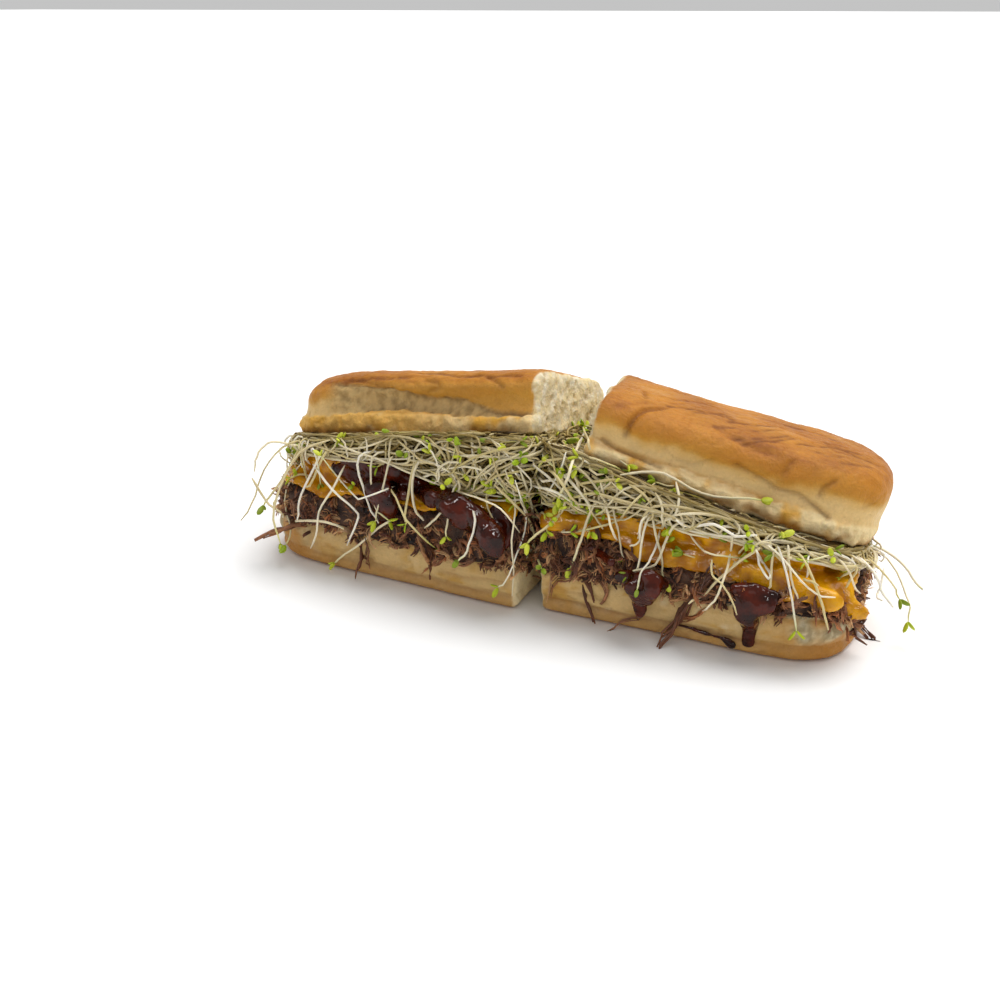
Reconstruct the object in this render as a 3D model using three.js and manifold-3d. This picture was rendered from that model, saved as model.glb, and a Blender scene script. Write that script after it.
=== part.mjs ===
// A long panini roll filled with pulled beef, melted cheese, barbecue sauce and alfalfa sprouts,
// cut across the middle, with its two halves lying end to end.
// Millimetres, +Z up. X runs along the roll, the side that faces the eater is -Y, and the roll rests on z = 0.

import * as THREE from 'three';
import { mergeVertices } from 'three/addons/utils/BufferGeometryUtils.js';
import Module from 'manifold-3d';

const wasm = await Module();
wasm.setup();

// Driving dimensions of one half
const HALF_LENGTH = 111.6;
const BOTTOM_WIDTH = 67.8;
const BOTTOM_HEIGHT = 18.9;
const TOP_WIDTH = 60;
const END_ROUNDING = 30; // how far the rounded outer end reaches back along the roll
const END_SQUARENESS = 2.8; // superellipse exponent of that end: 2 is an ellipse
const CLEARANCE = 0.4; // gap between pieces that touch
const CHEESE_THICKNESS = 2.6;
const MEAT_SHARE = 0.46; // share of the gap between the breads that the beef fills
const MEAT_WIDTH = 0.99; // of the bottom bread's width

// Resolution of the solids
const SIDE_STEPS = 6;
const END_STEPS = 12;
const CUT_STEPS = 6;
const CORE_STEPS = 12;

// Each half: which way it points from the cut, where its two breads lie, and how they are turned in degrees.
// The top breads lean back and slope down to the outer ends, because the filling is deepest at the cut.
// endSlant is how far the top of a top bread's outer end stands back from its lip.
const HALVES = {
  left: {
    side: -1,
    bottom: { at: [-4.6, 0], yaw: -1.6, length: 116 },
    top: { at: [-0.4, 7.8, 57.3], lean: -16.8, slope: -10.05, yaw: -4.6, length: 119, cutHeight: 23.5, endHeight: 25 },
    endSlant: 8,
    split: { from: 0.38, to: 0.62, depth: 2.6, reach: 92 },
    cheeseEdge: { start: -0.68, drop: 0.04 },
    seed: 11,
  },
  right: {
    side: 1,
    bottom: { at: [2.3, 4.1], yaw: 0.6, length: HALF_LENGTH },
    top: { at: [9.4, 8, 56.6], lean: -9, slope: 14.2, yaw: 7.05, length: 106, cutHeight: 23.5, endHeight: 28.5 },
    endSlant: 0,
    split: { from: 0.26, to: 0.44, depth: 2.2, reach: 86 },
    cheeseEdge: { start: -0.7, drop: 0.13 },
    seed: 23,
  },
};

// Colours, sRGB
const COLOURS = {
  bottomBread: '#cfb083',
  topBread: '#cf9450',
  beef: '#5e4034',
  cheese: '#d98a14',
  sprouts: '#d3cfa4',
};

const radians = THREE.MathUtils.degToRad;
const lerp = THREE.MathUtils.lerp;
const smooth = THREE.MathUtils.smoothstep;

// A seeded random number source, so that each build is the same.
function randomFrom(seed) {
  let state = seed >>> 0;
  return () => {
    state = (state + 0x6d2b79f5) >>> 0;
    let t = state;
    t = Math.imul(t ^ (t >>> 15), t | 1);
    t ^= t + Math.imul(t ^ (t >>> 7), t | 61);
    return ((t ^ (t >>> 14)) >>> 0) / 4294967296;
  };
}

// A smooth unevenness between -1 and 1 that varies over about `size` millimetres.
function unevenness(x, y, z, size, phase) {
  const [a, b, c] = [x / size, y / size, z / size];
  return (
    (Math.sin(1.7 * a + 2.3 * b + phase) +
      Math.sin(2.9 * b - 1.3 * c + 1.9 * phase) +
      Math.sin(2.1 * c + 1.1 * a - 0.7 * phase)) /
    3
  );
}

// Closed meshes

function signedVolume(points, triangles) {
  let sum = 0;
  for (const [a, b, c] of triangles) {
    sum += points[a].dot(points[b].clone().cross(points[c]));
  }
  return sum / 6;
}

// A solid from points and triangles, turned so that its faces point out.
function solidOf(points, triangles) {
  const outward = signedVolume(points, triangles) > 0;
  const turned = outward ? triangles : triangles.map(([a, b, c]) => [a, c, b]);
  return new wasm.Manifold(
    new wasm.Mesh({
      numProp: 3,
      vertProperties: new Float32Array(points.flatMap((p) => [p.x, p.y, p.z])),
      triVerts: new Uint32Array(turned.flat()),
    }),
  );
}

// A solid stacked from rings of equal point count, closed by a fan at each end.
function stackedSolid(rings) {
  const count = rings[0].length;
  const points = rings.flat();
  const triangles = [];
  for (let r = 0; r + 1 < rings.length; r++) {
    for (let k = 0; k < count; k++) {
      const next = (k + 1) % count;
      const [a, b] = [r * count + k, r * count + next];
      const [c, d] = [a + count, b + count];
      triangles.push([a, b, d], [a, d, c]);
    }
  }
  for (const [first, flip] of [
    [0, true],
    [(rings.length - 1) * count, false],
  ]) {
    const centre = new THREE.Vector3();
    for (let k = 0; k < count; k++) centre.addScaledVector(points[first + k], 1 / count);
    points.push(centre);
    for (let k = 0; k < count; k++) {
      const edge = [first + k, first + ((k + 1) % count)];
      triangles.push(flip ? [edge[1], edge[0], points.length - 1] : [...edge, points.length - 1]);
    }
  }
  return solidOf(points, triangles);
}

// A solid between the first and the last of some grids of points, walled by the edges of those between.
function layeredSolid(layers) {
  const [rows, columns] = [layers[0].length, layers[0][0].length];
  const points = layers.flat(2);
  const at = (layer, i, j) => (layer * rows + i) * columns + j;
  const triangles = [];
  const quad = (a, b, c, d) => triangles.push([a, b, c], [a, c, d]);
  const last = layers.length - 1;
  for (let i = 0; i + 1 < rows; i++) {
    for (let j = 0; j + 1 < columns; j++) {
      quad(at(last, i, j), at(last, i + 1, j), at(last, i + 1, j + 1), at(last, i, j + 1));
      quad(at(0, i, j), at(0, i, j + 1), at(0, i + 1, j + 1), at(0, i + 1, j));
    }
  }
  const rim = [];
  for (let i = 0; i < rows - 1; i++) rim.push([i, 0]);
  for (let j = 0; j < columns - 1; j++) rim.push([rows - 1, j]);
  for (let i = rows - 1; i > 0; i--) rim.push([i, columns - 1]);
  for (let j = columns - 1; j > 0; j--) rim.push([0, j]);
  for (let layer = 0; layer < last; layer++) {
    rim.forEach(([i, j], k) => {
      const [p, q] = rim[(k + 1) % rim.length];
      quad(at(layer, i, j), at(layer, p, q), at(layer + 1, p, q), at(layer + 1, i, j));
    });
  }
  return solidOf(points, triangles);
}

// A three.js geometry as a solid.
function solidFrom(geometry) {
  const bare = new THREE.BufferGeometry();
  bare.setAttribute('position', geometry.getAttribute('position').clone());
  if (geometry.index) bare.setIndex(geometry.index.clone());
  const merged = mergeVertices(bare, 1e-3);
  const position = merged.getAttribute('position');
  const points = Array.from({ length: position.count }, (_, k) =>
    new THREE.Vector3().fromBufferAttribute(position, k),
  );
  const triangles = [];
  for (let k = 0; k < merged.index.count; k += 3) {
    const corners = [0, 1, 2].map((n) => merged.index.getX(k + n));
    if (new Set(corners).size === 3) triangles.push(corners);
  }
  return solidOf(points, triangles);
}

function geometryOf(solid) {
  const { vertProperties, triVerts, numProp } = solid.getMesh();
  const geometry = new THREE.BufferGeometry();
  const positions = new Float32Array((vertProperties.length / numProp) * 3);
  for (let k = 0; k < positions.length / 3; k++) {
    positions.set(vertProperties.subarray(k * numProp, k * numProp + 3), k * 3);
  }
  geometry.setAttribute('position', new THREE.BufferAttribute(positions, 3));
  geometry.setIndex(new THREE.BufferAttribute(new Uint32Array(triVerts), 1));
  geometry.computeVertexNormals();
  return geometry;
}

const joined = (solids) => solids.reduce((whole, solid) => whole.add(solid));

// The largest connected piece, which drops loose scraps left by cutting.
function largestPiece(solid) {
  return solid.decompose().reduce((best, piece) => (piece.volume() > best.volume() ? piece : best));
}

// Bread

// How far the roll reaches to either side of its middle line, u from the cut, for a given width.
function halfWidth(u, width, length = HALF_LENGTH) {
  const past = Math.max(0, u - (length - END_ROUNDING)) / END_ROUNDING;
  return (width / 2) * Math.pow(Math.max(0, 1 - past ** END_SQUARENESS), 1 / END_SQUARENESS);
}

// The bread's outline seen from above, as [u, v], drawn in by `inset` and by `cutInset` at the cut.
function breadOutline(length, width, inset, cutInset) {
  const reach = length - inset;
  const [straight, half] = [length - END_ROUNDING, width / 2 - inset];
  const outline = [];
  for (let k = 0; k < SIDE_STEPS; k++) {
    outline.push([lerp(cutInset, straight, k / SIDE_STEPS), -half]);
  }
  const power = 2 / END_SQUARENESS;
  for (let k = 0; k <= END_STEPS; k++) {
    const angle = -Math.PI / 2 + (Math.PI * k) / END_STEPS;
    const [c, s] = [Math.max(0, Math.cos(angle)), Math.sin(angle)];
    outline.push([
      straight + (reach - straight) * c ** power,
      half * Math.sign(s) * Math.abs(s) ** power,
    ]);
  }
  for (let k = 1; k <= SIDE_STEPS; k++) {
    outline.push([lerp(straight, cutInset, k / SIDE_STEPS), half]);
  }
  for (let k = 1; k < CUT_STEPS; k++) {
    outline.push([cutInset, lerp(half, -half, k / CUT_STEPS)]);
  }
  return outline;
}

// The bottom bread: a flat base with a thin pressed rim, a crease above it, and a side that bulges a little.
// Rows are [height, inset, inset at the cut].
const BOTTOM_LEVELS = [
  [0, 3, 0.8],
  [0.8, 1.5, 0.3],
  [2.4, 0.7, 0],
  [4.6, 0.9, 0],
  [5.7, 2, 0.5],
  [7.2, 0.8, 0],
  [11, 0, 0],
  [15.5, 0.3, 0.2],
  [18, 1.3, 0.4],
  [BOTTOM_HEIGHT, 3.2, 1],
];

function bottomBread(half, grow = 0) {
  const rings = BOTTOM_LEVELS.map(([height, inset, cutInset], level) => {
    const base = level === 0;
    const z = level === BOTTOM_LEVELS.length - 1 ? height + grow : height;
    return breadOutline(half.bottom.length, BOTTOM_WIDTH, inset - grow, cutInset - grow).map(([u, v]) => {
      const bump = base ? 0 : 0.7 * unevenness(u, v, 3 * height, 17, half.seed);
      const rise = base || level < 5 ? 0 : 0.6 * unevenness(u, v, 0, 21, half.seed + 2);
      return new THREE.Vector3(half.side * u, v + Math.sign(v) * bump, z + rise);
    });
  });
  return stackedSolid(rings);
}

// The top bread's wall, bottom to top. Rows are [share of the height, inset, inset at the cut].
const TOP_LEVELS = [
  [0, 2.2, 0.6],
  [0.04, 0.5, 0],
  [0.16, 0, 0.3],
  [0.3, 0.4, 0],
  [0.4, 0.7, 0.3],
  [0.5, 0.4, 0],
  [0.6, 0.1, 0.2],
  [0.74, 0.4, 0],
  [0.86, 2.2, 0.2],
  [0.95, 5.8, 0.8],
  [0.995, 11.5, 2.6],
  [1.02, 20, 8],
];

// How deep the side of the top bread is split open along its front, at a share of its height.
function splitDepth(half, u, v, share) {
  const { from, to, depth, reach } = half.split;
  const across = smooth(share, from - 0.1, from) * (1 - smooth(share, to, to + 0.12));
  const along = 1 - smooth(u, reach - 20, reach);
  return v < 0 ? depth * across * along : 0;
}

function topBread(half, grow = 0) {
  const { length, cutHeight, endHeight } = half.top;
  const rings = TOP_LEVELS.map(([share, inset, cutInset]) =>
    breadOutline(length, TOP_WIDTH, inset - grow, cutInset - grow).map(([u, v]) => {
      const height = lerp(cutHeight, endHeight, smooth(u, 0, HALF_LENGTH)) + grow;
      const wobble = 0.9 * unevenness(u, v, 40 * share, 16, half.seed);
      const drawnIn = splitDepth(half, u, v, share) - wobble * smooth(share, 0, 0.1);
      const edge = Math.abs(v) / (TOP_WIDTH / 2);
      const slant = half.endSlant * share * smooth(u, length - END_ROUNDING, length);
      return new THREE.Vector3(
        half.side * (u - slant),
        v - Math.sign(v) * drawnIn * smooth(edge, 0.2, 0.9),
        share * height - grow * (share < 0.1 ? 1 : 0) + 0.5 * unevenness(u, v, 0, 14, half.seed + 5) * share,
      );
    }),
  );
  return stackedSolid(rings);
}

// Where the breads lie

function bottomMatrix(half) {
  const turn = new THREE.Matrix4().makeRotationZ(radians(half.bottom.yaw));
  return turn.setPosition(half.bottom.at[0], half.bottom.at[1], 0);
}

function topMatrix(half) {
  const { lean, slope, yaw, at } = half.top;
  const turn = new THREE.Euler(radians(lean), radians(slope), radians(yaw), 'ZYX');
  return new THREE.Matrix4().makeRotationFromEuler(turn).setPosition(...at);
}

const placed = (solid, matrix) => solid.transform(matrix.elements);

// The height of the top bread's underside above a point of the plan.
function undersideHeight(half, x, y) {
  const matrix = topMatrix(half);
  const normal = new THREE.Vector3(0, 0, 1).transformDirection(matrix);
  const [ox, oy, oz] = half.top.at;
  return oz - (normal.x * (x - ox) + normal.y * (y - oy)) / normal.z;
}

// The filling

// Half of the beef's cross-section as [t, share of the half width, share of the height]:
// t is 0 on the middle line and 1 where the beef meets the bottom bread.
const BEEF_PROFILE = [
  [0, 0, 1],
  [0.3, 0.4, 0.99],
  [0.54, 0.74, 0.94],
  [0.66, 0.9, 0.83],
  [0.75, 1, 0.63],
  [0.84, 1.06, 0.38],
  [0.91, 1.09, 0.12],
  [0.96, 1.07, -0.14],
  [1, 0.96, -0.02],
];

function profileAt(t) {
  const size = Math.min(Math.abs(t), 1);
  const k = Math.max(1, BEEF_PROFILE.findIndex(([mark]) => mark >= size));
  const [low, high] = [BEEF_PROFILE[k - 1], BEEF_PROFILE[k]];
  const part = (size - low[0]) / (high[0] - low[0]);
  return { across: Math.sign(t) * lerp(low[1], high[1], part), up: lerp(low[2], high[2], part) };
}

// A point on the surface of the beef, u from the cut, t round the cross-section, raised by `lift`.
function fillingPoint(half, u, t, lift = 0) {
  const matrix = bottomMatrix(half);
  const place = (tt) => {
    const { across, up } = profileAt(tt);
    const v = across * halfWidth(u, BOTTOM_WIDTH * MEAT_WIDTH, HALF_LENGTH + 2);
    const point = new THREE.Vector3(half.side * u, v, BOTTOM_HEIGHT).applyMatrix4(matrix);
    const gap = undersideHeight(half, point.x, point.y) - BOTTOM_HEIGHT;
    point.z += up * MEAT_SHARE * gap;
    return point;
  };
  const [point, before, after] = [place(t), place(t - 0.04), place(t + 0.04)];
  const outward = new THREE.Vector3(0, before.z - after.z, after.y - before.y).normalize();
  return point.addScaledVector(outward, lift);
}

const BEEF_BASE_LIFT = 1.4; // clears the uneven top of the bottom bread

function beefCore(half) {
  const rounds = 18;
  const rings = [];
  for (let i = 0; i <= CORE_STEPS; i++) {
    const u = lerp(0.6, HALF_LENGTH - 3, i / CORE_STEPS);
    const ring = [];
    for (let k = 0; k <= rounds; k++) {
      const t = lerp(-1, 1, k / rounds);
      const lumps = 0.9 * unevenness(u, 30 * t, 0, 6, half.seed);
      const point = fillingPoint(half, u, t, Math.min(0, lumps) - 0.4);
      if (Math.abs(t) === 1) point.z = BOTTOM_HEIGHT + BEEF_BASE_LIFT;
      ring.push(point);
    }
    rings.push(ring);
  }
  return stackedSolid(rings);
}

// The melted cheese: a sheet over the beef with a wavy front edge that droops lower towards the outer end.
function cheeseSheet(half, grow = 0) {
  const acrossSteps = 8;
  const surface = (lift) =>
    Array.from({ length: CORE_STEPS + 1 }, (_, i) => {
      const share = i / CORE_STEPS;
      const u = lerp(0.4 - grow, HALF_LENGTH - 2.5 + grow, share);
      const wave = 0.035 * Math.sin(share * 17 + half.seed) + 0.02 * Math.sin(share * 31);
      const front = half.cheeseEdge.start - half.cheeseEdge.drop * share + wave - 0.01 * grow;
      const back = 0.74 + 0.04 * Math.sin(share * 13 + half.seed) + 0.01 * grow;
      return Array.from({ length: acrossSteps + 1 }, (__, j) =>
        fillingPoint(half, u, lerp(front, back, j / acrossSteps), lift),
      );
    });
  const layers = [surface(CLEARANCE - grow), surface(CLEARANCE + CHEESE_THICKNESS + grow)];
  return layeredSolid(layers);
}

// A tube with pointed ends along a smooth curve through some points.
function strandSolid(points, radius, sides, steps) {
  const curve = new THREE.CatmullRomCurve3(points);
  const frames = curve.computeFrenetFrames(steps, false);
  const rings = [];
  for (let k = 0; k <= steps; k++) {
    const centre = curve.getPointAt(k / steps);
    const thin = k === 0 || k === steps ? 0.55 : 1;
    rings.push(
      Array.from({ length: sides }, (_, s) => {
        const angle = (2 * Math.PI * s) / sides;
        return centre
          .clone()
          .addScaledVector(frames.normals[k], radius * thin * Math.cos(angle))
          .addScaledVector(frames.binormals[k], radius * thin * Math.sin(angle));
      }),
    );
  }
  return stackedSolid(rings);
}

// True if a piece, drawn with a little extra room, stays clear of all the obstacles.
const isClear = (roomy, obstacles) => obstacles.every((other) => roomy.intersect(other).isEmpty());

// Strands drawn one after another by a seeded rule: each is kept only where it clears its neighbours.
// `draw(k)` gives a function that builds strand k, wider by some extra radius.
function clearStrands(count, obstacles, draw) {
  const kept = [];
  for (let k = 0; k < count; k++) {
    const build = draw(k);
    if (isClear(build(CLEARANCE), obstacles)) kept.push(build(0));
  }
  return kept;
}

// A shred of beef that stands out of the beef and hangs down, at the front (way -1) or the back (way 1).
function drawShred(half, u, way, random) {
  const root = fillingPoint(half, u, way * lerp(0.86, 0.92, random()), -1.5);
  const sweep = lerp(-8, 8, random());
  const fall = lerp(2, 9, random() ** 1.6);
  const radius = lerp(0.9, 1.5, random());
  const points = [
    root,
    root.clone().add(new THREE.Vector3(sweep * 0.4, way * 4.2, 1)),
    root.clone().add(new THREE.Vector3(sweep, way * 5, -fall)),
  ];
  return (extra) => strandSolid(points, radius + extra, 5, 3);
}

function beefShreds(half, random, obstacles) {
  const count = 18;
  return clearStrands(count, obstacles, (k) => {
    const u = lerp(3, HALF_LENGTH - 6, (k + random()) / count);
    return drawShred(half, u, k % 4 === 3 ? 1 : -1, random);
  });
}

// Thick barbecue sauce: blobs on the front of the beef and drips over the bottom bread, as
// [u, t, lift, size along, size out, size down].
const SAUCE = {
  left: [
    [52, -0.7, 2, 15, 2.8, 6],
    [76, -0.72, 2, 9, 2.6, 5],
    [26, -0.72, 2, 14, 2.8, 6],
    [15, -0.84, 1.5, 6, 3, 9],
  ],
  right: [
    [42, -0.89, 1, 8, 2.8, 6],
    [41, -0.97, 1.4, 4.5, 2.2, 8],
    [73, -0.89, 1, 9, 3, 7],
    [70, -0.97, 1.6, 4, 2.4, 10],
  ],
};

function sauceBlobs(half, name) {
  return SAUCE[name].map(([u, t, lift, along, out, down]) => {
    const blob = new THREE.SphereGeometry(1, 9, 6);
    blob.scale(along, out, down);
    const centre = fillingPoint(half, u, t, lift);
    return solidFrom(blob.translate(centre.x, centre.y, centre.z));
  });
}

const SPROUT_RADIUS = 0.75;
const SPROUT_CORE_FRONT = -0.56; // t where the core's front edge leaves the cheese
const SPROUT_CORE_BACK = 0.58;

// The sprouts' core: the room between the cheese and the top bread, lumpy at its front.
function sproutCore(half) {
  const [layerCount, acrossSteps] = [4, 8];
  const bottomLift = 2 * CLEARANCE + CHEESE_THICKNESS + 0.3;
  const layers = [];
  for (let layer = 0; layer < layerCount; layer++) {
    const height = layer / (layerCount - 1);
    const bulge = 3 * Math.sin(Math.PI * height);
    layers.push(
      Array.from({ length: CORE_STEPS + 1 }, (_, i) => {
        const u = lerp(0.8, HALF_LENGTH - 5, i / CORE_STEPS);
        return Array.from({ length: acrossSteps + 1 }, (__, j) => {
          const t = lerp(SPROUT_CORE_FRONT, SPROUT_CORE_BACK, j / acrossSteps);
          const low = fillingPoint(half, u, t, bottomLift);
          const rim = j === 0 ? -1 : j === acrossSteps ? 0.4 : 0;
          const y = low.y + rim * (bulge + 1.6 * unevenness(u, 0, 9 * height, 5, half.seed));
          const ceiling = undersideHeight(half, low.x, y) - CLEARANCE;
          return new THREE.Vector3(low.x, y, lerp(low.z, Math.max(ceiling, low.z + 1.2), height));
        });
      }),
    );
  }
  return layeredSolid(layers);
}

// A point at the sprouts' front, u from the cut, `up` from the cheese (0) to the top bread (1).
function sproutFront(half, u, up, out) {
  const low = fillingPoint(half, u, SPROUT_CORE_FRONT, 2 * CLEARANCE + CHEESE_THICKNESS);
  low.z = lerp(low.z, undersideHeight(half, low.x, low.y), up);
  low.y -= 3 * Math.sin(Math.PI * up) + out;
  return low;
}

// A sprout that lies along the front of the heap, half sunk in it.
function drawLyingSprout(half, u, random) {
  const reach = lerp(10, 17, random());
  const rise = lerp(-0.3, 0.3, random());
  const middle = lerp(0.25, 0.75, random());
  const along = [-1, -0.3, 0.4, 1].map((place, n) => {
    const at = THREE.MathUtils.clamp(u + place * reach, 2, HALF_LENGTH - 6);
    const up = THREE.MathUtils.clamp(middle + place * rise, 0.12, 0.86);
    return sproutFront(half, at, up, n === 1 || n === 2 ? 1.4 : -0.8);
  });
  return (extra) => strandSolid(along, SPROUT_RADIUS + extra, 4, 5);
}

// A sprout that leaves the heap at its front, arches out and hangs, with two seed leaves at its tip.
function drawHangingSprout(half, u, random) {
  const root = sproutFront(half, u, lerp(0.3, 0.6, random()), -2);
  const sweep = lerp(-17, 17, random());
  const lip = sproutFront(half, u, 0.2, lerp(5, 7.5, random()));
  lip.x += sweep * 0.35;
  const hang = fillingPoint(half, u, lerp(-0.72, -0.9, random()), lerp(4.5, 7, random()));
  hang.x += sweep;
  const low = hang.clone().add(new THREE.Vector3(sweep * 0.35, -1.5, -lerp(1, 6, random())));
  const turn = random();
  return (extra) => {
    const stem = strandSolid([root, lip, hang, low], SPROUT_RADIUS + extra, 4, 6);
    const leaves = [-1, 1].map((way) => {
      const leaf = new THREE.SphereGeometry(1, 5, 3);
      leaf.scale(2.2 + extra, 0.8 + extra, 1.4 + extra);
      leaf.rotateY(way * 0.8 + turn);
      return solidFrom(leaf.translate(low.x + way * 1.4, low.y, low.z - 0.4));
    });
    return joined([stem, ...leaves]);
  };
}

// A sprout that leaves the heap at its outer end and arches out past the breads.
function drawEndSprout(half, random) {
  const root = fillingPoint(half, HALF_LENGTH - 8, lerp(-0.5, 0.2, random()), lerp(5.5, 7.5, random()));
  const reach = lerp(15, 21, random());
  const fall = lerp(3, 16, random());
  const out = (share, rise) => root.clone().add(new THREE.Vector3(half.side * reach * share, -5 * share, rise));
  const points = [root, out(0.5, 0.5), out(0.9, -0.4 * fall), out(1, -fall)];
  return (extra) => strandSolid(points, SPROUT_RADIUS + extra, 4, 6);
}

function sproutStrands(half, random, obstacles) {
  const [lying, hanging, ending] = [8, 15, 9];
  const spread = (k, count) => lerp(3, HALF_LENGTH - 8, (k + random()) / count);
  return [
    ...clearStrands(lying, obstacles, (k) => drawLyingSprout(half, spread(k, lying), random)),
    ...clearStrands(hanging, obstacles, (k) => drawHangingSprout(half, spread(k, hanging), random)),
    ...clearStrands(ending, obstacles, () => drawEndSprout(half, random)),
  ];
}

// Assembly

const SIMPLIFY_TOLERANCES = [0.1, 0.08, 0.12, 0.06, 0.04, 0.02]; // remove the slivers that joining leaves
const MERGE_DIGITS = 3; // vertices nearer than this many decimal places count as one

function piece(name, solid, colour, roughness) {
  const material = new THREE.MeshStandardMaterial({ color: colour, roughness, metalness: 0 });
  const mesh = new THREE.Mesh(geometryOf(solid), material);
  mesh.name = name;
  return mesh;
}

// True if two faces meet at every edge, also once vertices that nearly coincide are merged.
function isPinchFree(solid) {
  const { vertProperties, triVerts } = solid.getMesh();
  const key = (k) => Array.from(vertProperties.subarray(3 * k, 3 * k + 3), (x) => x.toFixed(MERGE_DIGITS)).join();
  const uses = new Map();
  for (let k = 0; k < triVerts.length; k += 3) {
    const corners = [0, 1, 2].map((n) => key(triVerts[k + n]));
    if (new Set(corners).size < 3) continue;
    corners.forEach((corner, n) => {
      const edge = [corner, corners[(n + 1) % 3]].sort().join(' ');
      uses.set(edge, (uses.get(edge) ?? 0) + 1);
    });
  }
  return [...uses.values()].every((count) => count === 2);
}

// The solid as one piece without slivers, at the first tolerance that leaves no pinched edge.
function tidied(solid) {
  const whole = solid.asOriginal();
  for (const tolerance of SIMPLIFY_TOLERANCES) {
    const simpler = largestPiece(whole.simplify(tolerance));
    if (isPinchFree(simpler)) return simpler;
  }
  return largestPiece(whole);
}

function halfPanini(name, half) {
  const random = randomFrom(half.seed);
  const [base, cap] = [bottomMatrix(half), topMatrix(half)];
  const grownBase = placed(bottomBread(half, CLEARANCE), base);
  const grownCap = placed(topBread(half, CLEARANCE), cap);
  const grownCheese = cheeseSheet(half, CLEARANCE);

  const bottom = piece(`bottom_bread_${name}`, bottomBread(half), COLOURS.bottomBread, 0.85);
  bottom.applyMatrix4(base);
  const top = piece(`top_bread_${name}`, topBread(half), COLOURS.topBread, 0.7);
  top.applyMatrix4(cap);

  const sauced = joined([beefCore(half), ...sauceBlobs(half, name)]);
  const trimmed = sauced.subtract(grownBase).subtract(grownCheese);
  const beef = tidied(joined([trimmed, ...beefShreds(half, random, [grownBase, grownCheese])]));
  const cheese = tidied(cheeseSheet(half).subtract(grownBase));
  const obstacles = [beef, grownBase, grownCap, cheese];
  const sprouts = tidied(joined([sproutCore(half), ...sproutStrands(half, random, obstacles)]));

  const group = new THREE.Group();
  group.add(
    bottom,
    piece(`beef_${name}`, beef, COLOURS.beef, 0.6),
    piece(`cheese_${name}`, cheese, COLOURS.cheese, 0.3),
    piece(`sprouts_${name}`, sprouts, COLOURS.sprouts, 0.5),
    top,
  );
  return group;
}

const panini = new THREE.Group();
for (const [name, half] of Object.entries(HALVES)) panini.add(halfPanini(name, half));

// The origin is the middle of the whole thing's footprint, on the surface that it rests on.
const bounds = new THREE.Box3().setFromObject(panini, true);
const middle = bounds.getCenter(new THREE.Vector3());
panini.position.set(-middle.x, -middle.y, -bounds.min.z);

export default panini;
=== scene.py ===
# Looks of a long panini roll with pulled beef, barbecue sauce, melted cheese and sprouts.
# Shapes are worked out in millimetres, in the row frame, and turned into metres when a mesh is made.
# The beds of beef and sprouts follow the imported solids; notable creases, drips and stems are placed where
# the photograph shows them, by pixels that are cast from the camera on to the solids.

import math

import bpy
import numpy as np
from mathutils import Matrix, Vector
from mathutils.bvhtree import BVHTree


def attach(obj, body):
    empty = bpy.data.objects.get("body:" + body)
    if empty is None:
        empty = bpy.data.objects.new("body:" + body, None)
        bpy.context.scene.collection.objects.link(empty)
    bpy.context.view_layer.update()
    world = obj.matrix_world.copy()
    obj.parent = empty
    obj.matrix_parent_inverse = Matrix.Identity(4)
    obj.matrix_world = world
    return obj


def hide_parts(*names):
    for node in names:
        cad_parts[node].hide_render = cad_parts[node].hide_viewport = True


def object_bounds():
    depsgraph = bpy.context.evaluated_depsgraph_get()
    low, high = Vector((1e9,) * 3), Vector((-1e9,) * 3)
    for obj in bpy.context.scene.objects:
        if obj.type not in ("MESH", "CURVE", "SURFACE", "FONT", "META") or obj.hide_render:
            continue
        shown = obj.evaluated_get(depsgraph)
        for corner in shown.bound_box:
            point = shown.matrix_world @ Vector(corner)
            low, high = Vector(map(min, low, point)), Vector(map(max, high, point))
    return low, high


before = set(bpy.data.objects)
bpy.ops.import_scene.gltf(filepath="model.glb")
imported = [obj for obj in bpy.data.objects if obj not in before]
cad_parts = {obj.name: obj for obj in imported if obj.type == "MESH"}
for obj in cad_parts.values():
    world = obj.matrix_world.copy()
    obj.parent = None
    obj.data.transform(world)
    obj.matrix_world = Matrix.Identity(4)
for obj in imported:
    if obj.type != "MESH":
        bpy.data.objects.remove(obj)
cad_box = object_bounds()

MM = 0.001

# Dimensions that the solids are built from
HALF_LENGTH = 111.6
BOTTOM_WIDTH = 67.8
BOTTOM_HEIGHT = 18.9
END_ROUNDING = 30.0
END_SQUARENESS = 2.8
MEAT_SHARE = 0.46  # share of the gap between the breads that the beef fills
MEAT_WIDTH = 0.99  # of the bottom bread's width
BASE_CUT_INSET = 0.8  # how far the flat base stops short of the cut
CUT_HEIGHT = 23.5  # of the top breads

# "at" and "turn" place each bread: the turn is its lean, slope and yaw. "heap_edge" is the distance from the
# cut and the share of the heap's height up to which cheese shows instead of stems.
HALVES = {
    "left": {
        "side": -1,
        "bottom_at": (-4.6, 0.0),
        "bottom_yaw": -1.6,
        "top_at": (-0.4, 7.8, 57.3),
        "top_turn": (-16.8, -10.05, -4.6),
        "end_height": 25.0,
        "heap_edge": [(0, 0.0), (22, 0.05), (42, 0.3), (60, 0.48), (100, 0.5)],
        "stem_slope": 0.2,
        "flares": 30,
        "seed": 11,
    },
    "right": {
        "side": 1,
        "bottom_at": (2.3, 4.1),
        "bottom_yaw": 0.6,
        "top_at": (9.4, 8.0, 56.6),
        "top_turn": (-9.0, 14.2, 7.05),
        "end_height": 28.5,
        "heap_edge": [(0, 0.0), (12, 0.05), (30, 0.22), (50, 0.32), (70, 0.45), (100, 0.5)],
        "stem_slope": -0.05,
        "flares": 16,
        "seed": 23,
    },
}

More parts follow.
